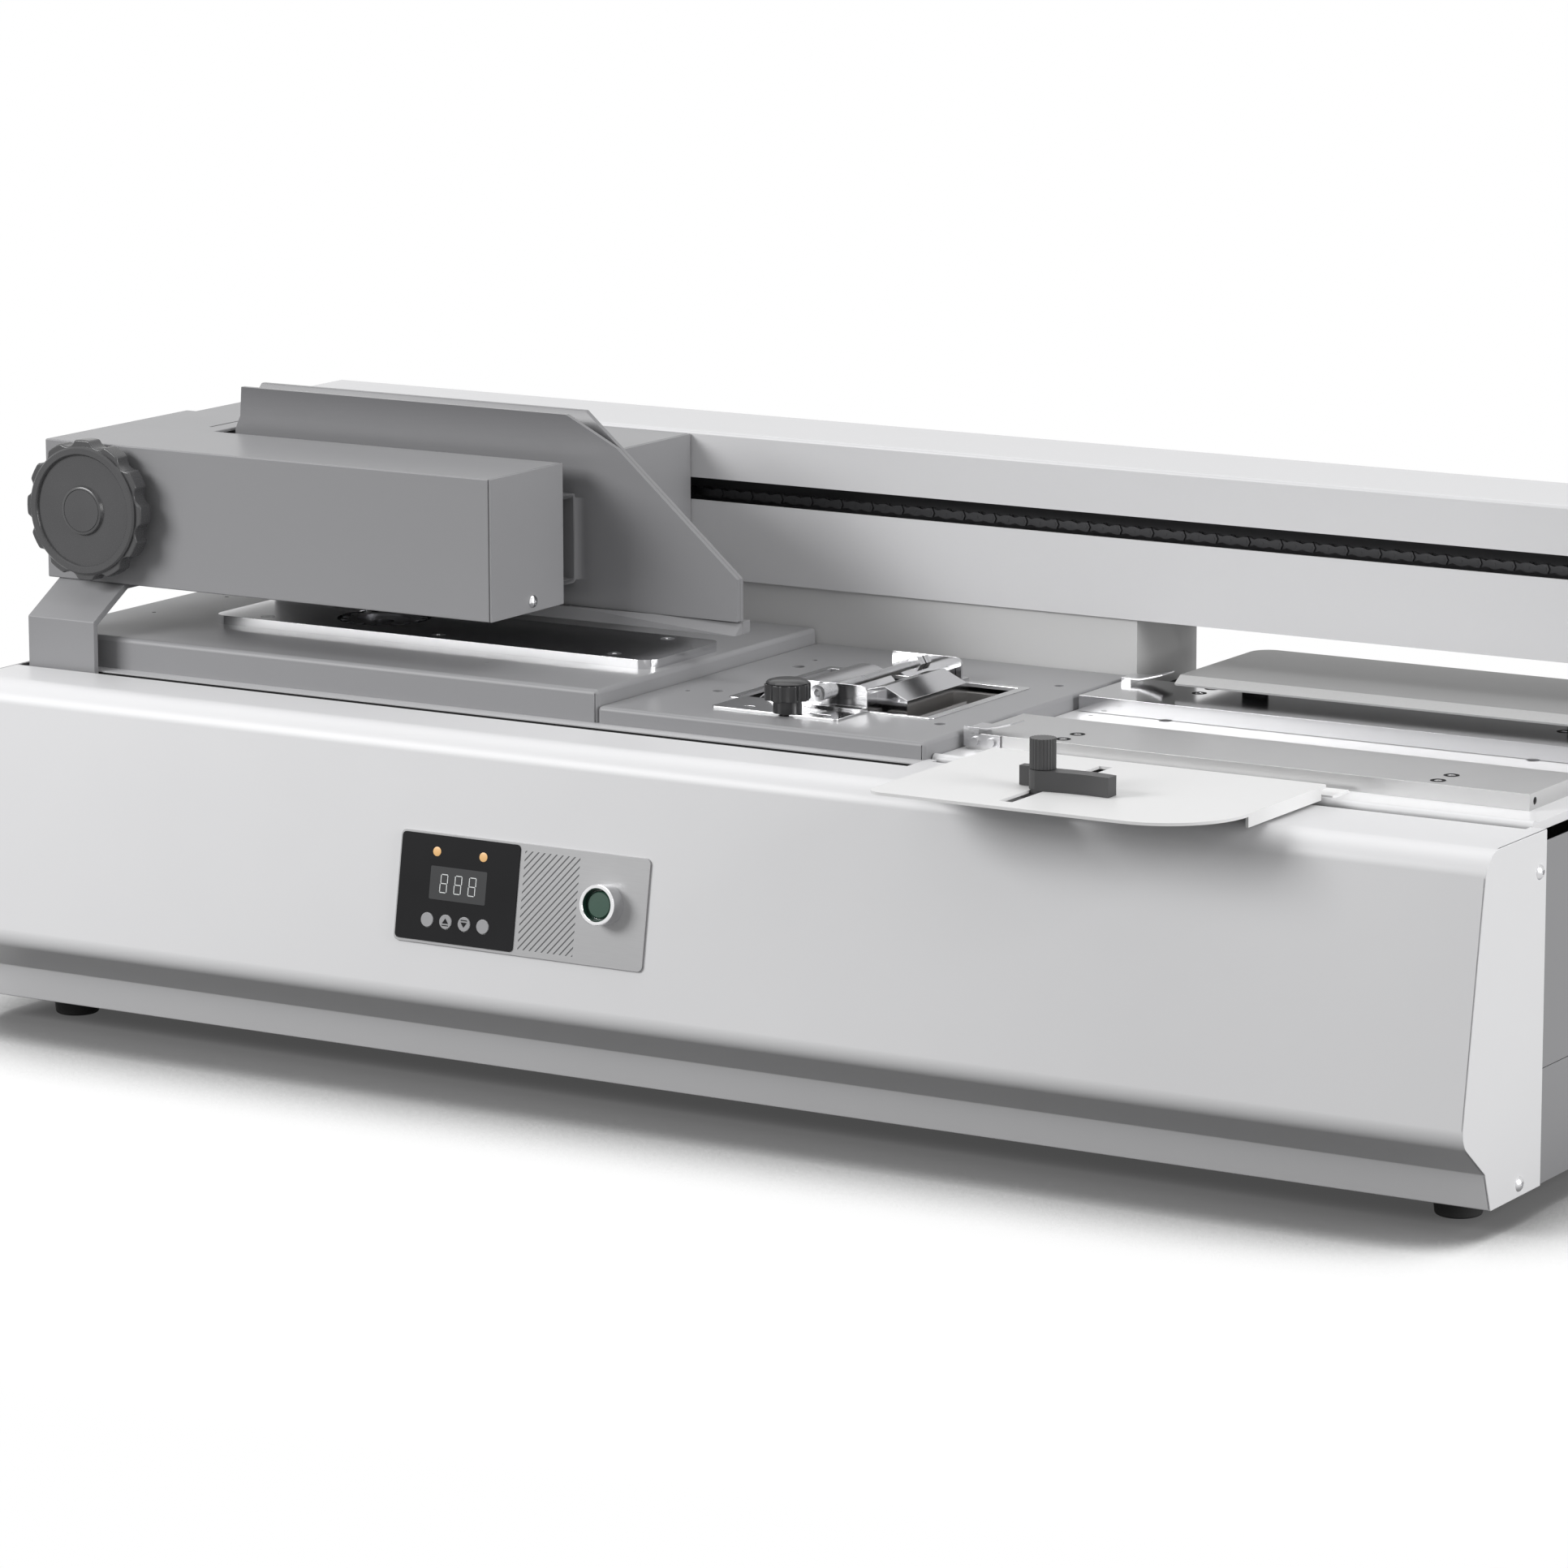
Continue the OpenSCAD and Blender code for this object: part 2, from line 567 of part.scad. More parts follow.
// Two bent cheeks, one at each end of the mouth, carry the adjusting rod
cheek_t = 2;
cheek_y = [mouth_y0 - cheek_t - 1, mouth_y1];
module roller_cheeks() color([0.84, 0.84, 0.85]) for (i = [0, 1]) let (y = cheek_y[i]) {
    difference() {
        along_y(y, y + cheek_t) polygon(rounded([
            [rod_x_pos - 22, glue_z - 7.5], [rod_x_pos + 34, glue_z - 7.5],
            [rod_x_pos + 34, rod_z + 6.4], [rod_x_pos - 22, rod_z + 6.4]], [2, 2, 5, 2], 5));
        translate([rod_x_pos, y - 1, rod_z]) rod_y(6.6, cheek_t + 2);
        along_y(i == 0 ? y + 0.7 : y - 1, i == 0 ? y + 3 : y + 1.3) polygon([
            [box_x + 1.7, box_bar_z - 0.3], [box_x + 9.3, box_bar_z - 0.3],
            [box_x + 9.3, box_bar_z + 8.3], [box_x + 1.7, box_bar_z + 8.3]]);
        block([rod_x_pos - 40, y - 1, glue_z - 9], [rod_x_pos + 40, y + cheek_t + 1, glue_z + (i == 0 ? 1.52 : 0.62)]);
    }
    // the foot that is screwed down
    if (i == 0) block([rod_x_pos - 21, y - 9, glue_z + 1.52], [rod_x_pos + 33.8, y + 1, glue_z + 3]);
    if (i == 1) block([rod_x_pos - 21, y + 1, glue_z + 0.62], [rod_x_pos + 33.8, y + 12, glue_z + 2.2]);
}

module adjuster_rod() color([0.8, 0.8, 0.82]) translate([rod_x_pos, 0, rod_z]) {
    y0 = cheek_y[0];
    translate([0, y0 - 0.02, 0]) rod_y(6, cheek_y[1] + cheek_t - y0 + 4);
    translate([0, y0 - 9, 0]) difference() {
        rod_y(11.6, 9);
        translate([0, -1, 0]) rod_y_hex(5.8, 6);
    }
    for (y = [7.6, 4]) translate([0, cheek_y[1] - y, 0]) rod_y_hex(11.5, 3.3);
}
module rod_y_hex(d, l) rotate([-90, 0, 0]) cylinder(d = d, h = l, $fn = 6);

// The lobed knob on its stem
module glue_knob() color([0.08, 0.08, 0.08]) translate([knob_x, knob_y, glue_z + 1.5 + seat]) {
    cylinder(d = 20, h = 10);
    translate([0, 0, 9]) difference() {
        lobed(glue_knob_d, 15, 8, 4);
        translate([0, 0, 13]) difference() {
            cylinder(d = glue_knob_d + 4, h = 4);
            translate([0, 0, -1]) cylinder(d1 = glue_knob_d + 1, d2 = glue_knob_d - 9, h = 5);
        }
    }
    translate([0, 0, -18]) cylinder(d = 10, h = 20);
}

// ---------------------------------------------------------------- gantry

chain_y = gantry_y + 11;
chain_pitch = 12.7;
sprocket_r = chain_pitch / (2 * sin(180 / sprocket_teeth));
chain_z = slot_z + 4;                        // the strand seen through the slot
sprocket_z = chain_z - sprocket_r;
sprocket_x = wall_x - 36;
beam_y = gantry_y + 46;
rail_z = slot_z + rail_slot_h / 2;
rail_d = 12;
rail_h = 14;
gantry_t = 2;

module gantry_cover() color([0.85, 0.85, 0.86]) difference() {
    sheet_box([-half_l + 4, gantry_y, gantry_z], [half_l - 4, rear_y, gantry_top], gantry_t, [[0, 0, -1]]);
    block([-half_l + 14, gantry_y - 1, slot_z], [half_l - 14, gantry_y + gantry_t + 1, slot_z + rail_slot_h]);
}

// The beam that stiffens the gantry, with the linear rail on its face
module gantry_beam() color([0.6, 0.6, 0.62]) {
    end_x = half_l - 4 - gantry_t - seat;
    block([-end_x, beam_y, gantry_z + 0.01], [end_x, beam_y + 14, gantry_top - gantry_t - seat]);
    block([-wall_x + 6, beam_y - rail_d, rail_z - rail_h / 2], [wall_x - 6, beam_y, rail_z + rail_h / 2]);
    for (s = [-1, 1]) translate([s * sprocket_x, chain_y, sprocket_z]) rod_y(7, beam_y - chain_y);
}

// Three posts and the panel that closes the back of the stations
module gantry_stand() color([0.82, 0.82, 0.83]) {
    difference() {
        union() {
            block([-wall_x, stand_y, deck_z], [post_x[1] + post_w, stand_y + 2.5, gantry_z]);
            for (i = [0, 1]) block([post_x[i], stand_y, deck_z], [post_x[i] + post_w, rear_y - 0.5, gantry_z]);
            block([post_x[2], stand_y, floor_z], [post_x[2] + post_w, base_d - 8, gantry_z]);
        }
        for (i = [0:2]) block([post_x[i] + 3, stand_y + 3, floor_z - 1],
            [post_x[i] + post_w - 3, i == 2 ? base_d - 11 : rear_y - 3.5, gantry_z + 1]);
    }
}

// A flat loop of chain round both wheels
module drive_chain() color([0.15, 0.15, 0.15]) difference() {
    h = 8;
    translate([0, chain_y, 0]) along_y(0, 6) difference() {
        chain_loop(sprocket_r + h / 2);
        chain_loop(sprocket_r - h / 2);
    }
}
module chain_loop(r) {
    translate([-sprocket_x, sprocket_z]) circle(r);
    translate([sprocket_x, sprocket_z]) circle(r);
    translate([-sprocket_x, sprocket_z - r]) square([2 * sprocket_x, 2 * r]);
}

// A chain wheel: round gullets cut between its teeth
module sprocket() difference() {
    union() {
        translate([0, 1, 0]) rod_y(2 * (sprocket_r - 4.6), 4);
        rod_y(18, 6);
    }
    for (i = [0:sprocket_teeth - 1]) rotate([0, (i + 0.5) * 360 / sprocket_teeth, 0])
        translate([sprocket_r - 1.2, -1, 0]) rod_y(8.6, 8);
    translate([0, -1, 0]) rod_y(7 + 2 * fit, 12);
}
module drive_sprocket() color([0.35, 0.35, 0.36]) translate([-sprocket_x, chain_y, sprocket_z]) sprocket();
module idler_sprocket() color([0.35, 0.35, 0.36]) translate([sprocket_x, chain_y, sprocket_z]) sprocket();

// A flat geared motor behind the beam
module drive_motor() color([0.3, 0.3, 0.32]) {
    y0 = beam_y + 14 + seat;
    block([-sprocket_x - 20, y0, sprocket_z - 24], [-sprocket_x + 36, rear_y - gantry_t - 1, sprocket_z + 24]);
    translate([-sprocket_x + 36, (y0 + rear_y - gantry_t - 1) / 2, sprocket_z]) rod_x(26, 90);
}

// ---------------------------------------------------------------- carriage

box_x0 = -half_l + 1;
box_y0 = 85.5;
box_y1 = box_y0 + box_d;
box_x1 = box_x0 + box_l;
hood_y0 = jaw_y + jaw_open + 15;
hood_y1 = gantry_y - run_gap;
arm_x1 = box_x0 + arm_w;
jaw_x0 = arm_x1 + 5;
jaw_x1 = jaw_x0 + jaw_l;
jaw_seat = jaw_t + 6;                        // depth of one foot bar
wheel_x = box_x0 + 49.6;
wheel_z = box_z + 55.3;
spindle_r = 7;

module front_box() color([0.57, 0.57, 0.59]) difference() {
    sheet_box([box_x0, box_y0, box_z], [box_x1, box_y1, box_top], box_t);
    // the spindle goes in at the front and out into the arm
    translate([wheel_x, box_y0 - 1, wheel_z]) rod_y(2 * spindle_r + 2 * fit, box_t + 2);
    translate([wheel_x, box_y1 - box_t - 1, wheel_z]) rod_y(2 * spindle_r + 6, box_t + 2);
}

// The arm joins the two boxes; its inner side is open for the nut, and its top is slit
module carriage_arm() color([0.57, 0.57, 0.59]) difference() {
    sheet_box([box_x0, box_y1, box_z], [arm_x1, hood_y0, box_top], box_t, [[1, 0, 0]]);
    translate([wheel_x, box_y1 - 1, wheel_z]) rod_y(2 * spindle_r + 6, box_t + 2);
    translate([wheel_x, hood_y0 - box_t - 1, wheel_z]) rod_y(2 * spindle_r + 2 * fit, box_t + 2);
    block([wheel_x + 17, jaw_y - 6, box_top - box_t - 1], [wheel_x + 19, jaw_y + 36, box_top + 1]);
}

guide_x = [arm_x1 + 60, box_x1 - 57.5];
guide_z = box_z + 34;
guide_d = 16;
module rear_hood() color([0.57, 0.57, 0.59]) difference() {
    union() {
        sheet_box([box_x0, hood_y0, box_z], [box_x1 - 7, hood_y1, hood_top], box_t);
        for (x = guide_x) translate([x, hood_y0 + 1, guide_z]) rod_y(guide_d + 14, 34);
    }
    for (x = guide_x) translate([x, hood_y0 - 1, guide_z]) rod_y(guide_d + 2 * fit, 60);
    translate([wheel_x, hood_y0 - 1, wheel_z]) rod_y(2 * spindle_r + 6, box_t + 2);
}

// A clamp plate's outline in (x, z): its right end slopes up from the foot
jaw_top = box_top + 10;
jaw_crest = jaw_top + 23;
jaw_pts = [
    [jaw_x0, jaw_z], [jaw_x1, jaw_z], [jaw_x1, jaw_z + 39], [jaw_x1 - 99, jaw_top],
    [jaw_x0 + 4.5, jaw_top], [jaw_x0, box_top]
];
flare_pts = [[jaw_x0 + 4.5, jaw_top], [jaw_x1 - 99, jaw_top], [jaw_x1 - 135, jaw_crest], [jaw_x0 + 13.5, jaw_crest]];
flare_lean = 10.5;

// One clamp plate; back is 1 for the rear one and -1 for the front one
module clamp_plate(back) {
    y0 = back > 0 ? jaw_y + seat : jaw_y;
    module side(d) translate([0, back > 0 ? y0 : y0 - d, 0]) children();
    side(jaw_t) along_y(0, jaw_t) polygon(jaw_pts);
    side(jaw_seat) along_y(0, jaw_seat) polygon([
        [jaw_x0, jaw_z], [jaw_x1 + 2, jaw_z], [jaw_x1 + 2, jaw_z + 9], [jaw_x0, jaw_z + 9]]);
    // the lead-in flare above the boxes leans away from the book
    intersection() {
        along_y(-50, 450) polygon(flare_pts);
        along_x(jaw_x0 - 5, jaw_x1 + 5) polygon([
            [y0, jaw_top - 0.01], [y0 + back * jaw_t, jaw_top - 0.01],
            [y0 + back * (jaw_t + flare_lean), jaw_crest], [y0 + back * flare_lean, jaw_crest]]);
    }
}

// The front plate is held off the front box by a channel that shows past the box's end
channel_h = 64;
channel_z = box_z + 13;
module front_clamp_plate() color([0.55, 0.55, 0.57]) {
    clamp_plate(-1);
    along_x(arm_x1 + 4, box_x1 + 7) difference() {
        polygon(rounded([[box_y1 + 0.2, channel_z], [jaw_y - jaw_t, channel_z],
            [jaw_y - jaw_t, channel_z + channel_h], [box_y1 + 0.2, channel_z + channel_h]], [0, 3, 3, 0], 4));
        polygon([[box_y1 - 1, channel_z + 3], [jaw_y - jaw_t - 3, channel_z + 3],
            [jaw_y - jaw_t - 3, channel_z + channel_h - 3], [box_y1 - 1, channel_z + channel_h - 3]]);
    }
}

nut_y0 = jaw_y + seat + jaw_t + 3;
nut_w = 34;
module rear_clamp_plate() color([0.55, 0.55, 0.57]) clamp_plate(1);

// Two rods behind the rear plate slide in the hood's bushes
module clamp_guides() color([0.78, 0.78, 0.8]) for (x = guide_x) translate([x, jaw_y + seat + jaw_t, guide_z])
    rod_y(guide_d, hood_y1 - jaw_open - 10 - jaw_y);

// The nut on the spindle, with the arm that pulls the rear plate
module clamp_nut() color([0.35, 0.35, 0.37]) difference() {
    union() {
        block([wheel_x - nut_w / 2, jaw_y + seat + jaw_t, wheel_z - 16], [wheel_x + nut_w / 2, jaw_y + seat + jaw_t + 8, wheel_z + 16]);
        block([wheel_x + 10, jaw_y + seat + jaw_t, wheel_z - 12], [jaw_x0 + 40, jaw_y + seat + jaw_t + 8, wheel_z + 12]);
    }
    translate([wheel_x, jaw_y, wheel_z]) rod_y(2 * spindle_r + 2 * fit, 40);
}

// The threaded spindle, and the wheel's boss in front of the box
wheel_t = 16;
wheel_y0 = box_y0 - 8 - wheel_t;
module clamp_spindle() color([0.7, 0.7, 0.72]) translate([wheel_x, box_y0 - 8 + fit, wheel_z]) {
    rod_y(2 * spindle_r, hood_y0 - box_y0 + 14);
    rod_y(24, 8 - run_gap);
}

// The lobed handwheel, dished inside its rim, with a round boss in the middle
module handwheel() color([0.24, 0.24, 0.25]) translate([wheel_x, wheel_y0 + wheel_t, wheel_z]) rotate([90, 0, 0])
    difference() {
        union() {
            difference() {
                lobed(wheel_d, wheel_t, wheel_lobes, 8);
                translate([0, 0, wheel_t - 3]) cylinder(d = 76, h = 5, $fn = 72);
                // the rim's back is relieved
                translate([0, 0, -1]) difference() {
                    cylinder(d = 84, h = 7);
                    cylinder(d = 34, h = 9);
                }
            }
            translate([0, 0, wheel_t - 4]) cylinder(d = 38, h = 4.6);
        }
        translate([0, 0, wheel_t - 1]) difference() {
            cylinder(d = 32, h = 4);
            translate([0, 0, -1]) cylinder(d = 30.5, h = 6);
        }
    }

// The bent leg in the slot: upright, then leaning back under the box
leg_x0 = box_x0 + 8.5;
leg_w = 59;
leg_t = 5;
leg_y = slot_y + (leg_slot_w - leg_t) / 2;
module carriage_leg() color([0.57, 0.57, 0.59]) {
    knee = mill_z + 10;
    along_x(leg_x0, leg_x0 + leg_w) polygon([
        [leg_y, deck_z - 26], [leg_y + leg_t, deck_z - 26], [leg_y + leg_t, knee],
        [box_y0 + leg_t + 1, box_z - 4], [box_y0 + 50, box_z - 4], [box_y0 + 50, box_z],
        [box_y0 + 2, box_z], [leg_y, knee + 3]]);
    // the nylon shoe that runs along the deck's flange
    block([leg_x0, leg_y - 12, deck_z - 42], [leg_x0 + leg_w, leg_y + leg_t, deck_z - 26]);
}

// The bearing block on the rail, and the tongue that reaches it through the slot
module rail_block() color([0.4, 0.4, 0.42]) {
    x0 = box_x0 + 120;
    difference() {
        block([x0, beam_y - rail_d - 11, rail_z - 18], [x0 + 140, beam_y - 3, rail_z + 18]);
        block([x0 - 1, beam_y - rail_d - seat, rail_z - rail_h / 2 - seat], [x0 + 141, beam_y, rail_z + rail_h / 2 + seat]);
    }
    block([x0 + 10, hood_y1, chain_z + 4.8], [x0 + 130, beam_y - rail_d - 11, slot_z + rail_slot_h - 1.5]);
}

// ---------------------------------------------------------------- nip table

nip_x0 = tray_x0 + 4;
nip_y0 = 115.5;
nip_y1 = nip_y0 + nip_d;
rear_nip_y = stand_y - nip_d - 10.3;          // the open place, in front of the closing panel
rod_pos = [for (x = [tray_x0 + 60, tray_x1 - 60], y = [nip_y0 + 14.5, stand_y - 31.5]) [x, y]];
nip_screw_x = [nip_x0 + 68, nip_x0 + nip_l - 71];
lip_y = cover_d + 2.5;

// The tray has a round bright front lip
module nip_tray() color([0.84, 0.84, 0.85]) difference() {
    union() {
        block([tray_x0, lip_y + 4, tray_z - 6], [tray_x1, stand_y - 4, tray_z]);
        translate([tray_x0, lip_y + 4, tray_z - 2]) rod_x(8, tray_x1 - tray_x0);
    }
    for (x = nip_screw_x) translate([x, jaw_y + nip_close + 2, tray_z - 10]) cylinder(d = 9, h = 20);
    for (y = [0, 21]) translate([nip_x0 + 14.7, jaw_y + nip_close - 7 - y, tray_z - 10]) cylinder(d = 4, h = 20);
}

module nip_plate(y0, screw_y) difference() {
    block([nip_x0, y0, tray_z], [nip_x0 + nip_l, y0 + nip_d, nip_z]);
    for (x = nip_screw_x, y = screw_y) translate([x, y, nip_z]) flat_screw_hole(m5, nip_t + 1);
    // threaded hole in the plate's end
    translate([nip_x0 + nip_l - 15, y0 + 8, tray_z + nip_t / 2]) rod_x(5, 16);
}

module nip_screws(screw_y) for (x = nip_screw_x, y = screw_y) translate([x, y, nip_z - 0.05]) flat_screw(m5, nip_t - 0.5);

module front_nip_plate() color([0.8, 0.8, 0.81]) {
    nip_plate(nip_y0, [nip_y0 + 12, nip_y0 + 32]);
    nip_screws([nip_y0 + 12, nip_y0 + 32]);
}

// The rear plate runs on the tray with a little clearance
module rear_nip_plate() color([0.8, 0.8, 0.81]) translate([0, 0, seat]) {
    nip_plate(rear_nip_y, [rear_nip_y + 49.5, rear_nip_y + 69]);
    nip_screws([rear_nip_y + 49.5, rear_nip_y + 69]);
}

// A spring clip on the plate's left end holds the cover down: a flat strip on a spacer, its tip bent up
module clip(y0, d) {
    z = nip_z + 3.2;
    block([nip_x0 + 3, y0, nip_z + 0.02], [nip_x0 + 10.5, y0 + d, z + 0.01]);
    along_y(y0, y0 + d) polygon([
        [nip_x0 + 3, z], [nip_x0 + 17, z], [nip_x0 + 26.4, z + 2.2], [nip_x0 + 35.5, z + 4.8],
        [nip_x0 + 35.2, z + 5.8], [nip_x0 + 26.2, z + 3.2], [nip_x0 + 16.8, z + 1], [nip_x0 + 3, z + 1]]);
}
module front_clip() color([0.8, 0.8, 0.8]) {
    clip(nip_y0 - 1.5, 18);
    // the tab that is screwed to the plate's front edge
    block([nip_x0 - 1, nip_y0 - 1.5, nip_z - 9], [nip_x0 + 27, nip_y0 - seat, nip_z - 0.2]);
    block([nip_x0 - 1, nip_y0 - 1.5, nip_z - 1], [nip_x0 + 5, nip_y0 - seat, nip_z + 4.2]);
    for (x = [8, 20.5]) translate([nip_x0 + x, nip_y0 - 3.5, nip_z - 5]) rod_y(6, 2.1);
}
module rear_clip() color([0.8, 0.8, 0.8]) translate([0, 0, seat]) clip(rear_nip_y + 56, 18);

// The table's outline: square at the nip, round at its free corner
table_x0 = tray_x0 + 44.4;
table_z = nip_z - 1;
slot_x = table_x0 + 96;
guide_y = -23;
table_y1 = table_d - table_front;
tongue_x0 = table_x0 + 20;
tongue_x1 = table_x0 + table_l - 8;
module feed_table() color([0.92, 0.92, 0.92]) difference() {
    union() {
        translate([table_x0, -table_front, table_z - table_t]) linear_extrude(table_t)
            polygon(rounded([[0, 0], [table_l, 0], [table_l, table_d], [0, table_d]], [12, table_r, 3, 3], 12));
        // turned-down sides
        for (x = [table_x0, table_x0 + table_l - table_t])
            block([x, -table_front + table_r, table_z - table_edge_h], [x + table_t, table_y1 - 9, table_z - table_t + 0.01]);
        // the tongue that is screwed to the tray
        block([tongue_x0, table_y1 - 12, table_z - table_t - 2], [tongue_x1, table_y1 + 5, table_z - table_t + 0.01]);
        block([tongue_x0, table_y1 + 3, tray_z], [tongue_x1, table_y1 + 5, table_z - table_t]);
        block([tongue_x0, table_y1 + 3, tray_z], [tongue_x1 + 10, nip_y0 - 6, tray_z + 2]);
    }
    translate([slot_x - guide_slot_w / 2, -table_front + 16, table_z - 10]) cube([guide_slot_w, 134, 20]);
}

// The side guide: a boss over the slot, a short block and a curved arm
guide_h = 13;
module side_guide() color([0.16, 0.16, 0.16]) translate([slot_x, guide_y, table_z + seat]) {
    difference() {
        union() {
            cylinder(d = 18, h = guide_h);
            block([-18.6, 2, 0], [0, 9, guide_h]);
            intersection() {
                difference() {
                    translate([30, -160, 0]) cylinder(d = 2 * 166, h = guide_h, $fn = 180);
                    translate([38, -164, -1]) cylinder(d = 2 * 158, h = guide_h + 2, $fn = 180);
                }
                block([0, -20, 0], [58, 20, guide_h]);
            }
        }
        translate([0, 0, -1]) cylinder(d = 6 + 2 * fit, h = guide_h + 2);
    }
    // the tongue that keeps it square in the slot, and the washer plate below
    difference() {
        union() {
            block([-guide_slot_w / 2 + seat, -9, -table_t - 2 * seat], [guide_slot_w / 2 - seat, 9, 0.01]);
            block([-10, -12, -table_t - 2 * seat - 2.5], [10, 12, -table_t - 2 * seat]);
        }
        translate([0, 0, -8]) cylinder(d = 6 + 2 * fit, h = 10);
    }
}

// The ribbed clamping knob on its stud
module guide_knob() color([0.12, 0.12, 0.12]) translate([slot_x, guide_y, table_z + 2 * seat + guide_h]) {
    difference() {
        cylinder(d = guide_knob_d, h = guide_knob_h);
        for (i = [0:23]) rotate(i * 15) translate([guide_knob_d / 2 + 0.3, 0, -1]) cylinder(d = 1.6, h = guide_knob_h + 2, $fn = 13);
    }
    translate([0, 0, -guide_h - table_t - 4]) cylinder(d = 6, h = guide_h + table_t + 4.01);
}

// The rear sheet lies over the rear nip plate; its front edge is bent down
sheet_x0 = glue_x1 + 59.4;
sheet_z = nip_z + 12.7;
sheet_y0 = 311;
sheet_y1 = rear_y - 12;
module rear_feed_sheet() color([0.86, 0.86, 0.87]) {
    x1 = post_x[2] - 4;
    difference() {
        union() {
            block([sheet_x0, sheet_y0 + 8.4, sheet_z - table_t], [x1, sheet_y1, sheet_z]);
            along_x(sheet_x0, x1) polygon([
                [sheet_y0, sheet_z - 5], [sheet_y0 + 1.1, sheet_z - 6.7], [sheet_y0 + 9.2, sheet_z - table_t],
                [sheet_y0 + 9.2, sheet_z], [sheet_y0 + 8.4, sheet_z]]);
        }
        translate([sheet_x0 - 1, sheet_y1 - 15, sheet_z - 10]) difference() {
            cube([16, 16, 20]);
            translate([16, 0, -1]) cylinder(d = 30, h = 22);
        }
    }
    // two legs down to the tray, behind the rear plate's path
    for (x = [sheet_x0 + 30, x1 - 50]) block([x, stand_y - 6.5, tray_z], [x + 20, stand_y - 4.5, sheet_z - table_t + 0.01]);
}

// Guide rods under the tray, and the push rod in the middle
module lift_rods() color([0.78, 0.78, 0.8]) {
    for (p = rod_pos) translate([p.x, p.y, floor_z + 8]) cylinder(d = lift_rod_d, h = tray_z - 6 - floor_z - 8);
    translate([(tray_x0 + tray_x1) / 2, 230, floor_z + 100]) cylinder(d = 20, h = tray_z - 6 - floor_z - 100);
}

module lift_bushes() color([0.5, 0.5, 0.52]) for (p = rod_pos) translate([p.x, p.y, floor_z]) difference() {
    union() {
        cylinder(d = lift_rod_d + 16, h = 100);
        cylinder(d = lift_rod_d + 36, h = 6);
    }
    translate([0, 0, 2]) cylinder(d = lift_rod_d + 2 * fit, h = 110);
}

// The linear actuator that raises the table
module lift_actuator() color([0.3, 0.3, 0.32]) translate([(tray_x0 + tray_x1) / 2, 230, floor_z]) difference() {
    union() {
        block([-35, -35, 0], [35, 35, 60]);
        cylinder(d = 48, h = 130);
        translate([35, 0, 30]) rod_x(46, 70);
    }
    translate([0, 0, 50]) cylinder(d = 20 + 2 * fit, h = 100);
}

// ---------------------------------------------------------------- control panel

panel_x = -half_l + 488;
panel_z = foot_h + 129;
start_x = panel_x + 69;
start_z = panel_z + 5;
display_x = panel_x - panel_l / 2 + 50;
key_z = panel_z - 20;
key_x = [for (i = [0:3]) display_x - 24 + i * 15.2];

module control_panel() color([0.6, 0.6, 0.61]) difference() {
    on_face(panel_x, panel_z) translate([-panel_l / 2, -panel_h / 2, 0.02]) round_plate(panel_l, panel_h, panel_t, 4);
    on_face(start_x, start_z) translate([0, 0, -6]) cylinder(d = 23, h = 12);
    for (x = key_x) on_face(x, key_z) translate([0, 0, -6]) cylinder(d = key_d + 1, h = 12);
}

// The dark display half, with its window, lamp holes and key holes
bezel_t = 0.8;
module display_bezel() color([0.17, 0.17, 0.17]) difference() {
    on_face(panel_x, panel_z) translate([-panel_l / 2 + 1.5, -panel_h / 2 + 1.5, panel_t + 0.02])
        round_plate(96.5, panel_h - 3, bezel_t, 3);
    on_face(display_x, panel_z + 6) translate([-22, -11, panel_t + bezel_t - 0.3]) cube([44, 22, 2]);
    for (x = key_x) on_face(x, key_z) translate([0, 0, -6]) cylinder(d = key_d + 0.6, h = 12);
    for (x = lamp_x) on_face(x, lamp_z) translate([0, 0, -6]) cylinder(d = 5.2, h = 12);
}

lamp_x = [display_x - 21, display_x + 17];
lamp_z = panel_z + 27;
module indicator_lamps() color([0.9, 0.7, 0.45]) for (x = lamp_x) on_face(x, lamp_z)
    translate([0, 0, panel_t + 0.02]) cylinder(d = 5, h = bezel_t + 0.2);

// One small key; its stem goes back through the panel
module key(i) color([0.7, 0.7, 0.71]) on_face(key_x[i], key_z) {
    translate([0, 0, -1.5]) cylinder(d = key_d, h = panel_t + bezel_t + 2.3);
}
module key_1() key(0);
module key_2() key(1);
module key_3() key(2);
module key_4() key(3);

// The start button's ring, barrel and lock nut
module start_bezel() color([0.85, 0.85, 0.86]) on_face(start_x, start_z) difference() {
    union() {
        translate([0, 0, panel_t + 0.06]) cylinder(d = start_ring_d, h = start_ring_h, $fn = 64);
        translate([0, 0, -30]) cylinder(d = 21.6, h = 32 + panel_t);
        translate([0, 0, -cover_t - 5]) cylinder(d = 28, h = 5 - 0.1);
    }
    translate([0, 0, -26]) cylinder(d = 21 - 2, h = 60);
}
module start_button() color([0.29, 0.45, 0.37]) on_face(start_x, start_z) {
    translate([0, 0, -12]) cylinder(d = 19 - 2 * fit, h = 12 + panel_t + start_ring_h - 4);
}

// ---------------------------------------------------------------- rear inlet

module power_inlet() color([0.12, 0.12, 0.12]) {
    difference() {
        translate([inlet_x - 24, base_d + 0.01, inlet_z - 14]) cube([48, 1.9, 28]);
        translate([inlet_x - 13, base_d - 1, inlet_z - 9]) cube([26, 10, 18]);
    }
    for (x = [-7, 0, 7]) translate([inlet_x + x, base_d + 0.02, inlet_z - (x == 0 ? -3 : 3)]) rod_y(3, 1.6);
}

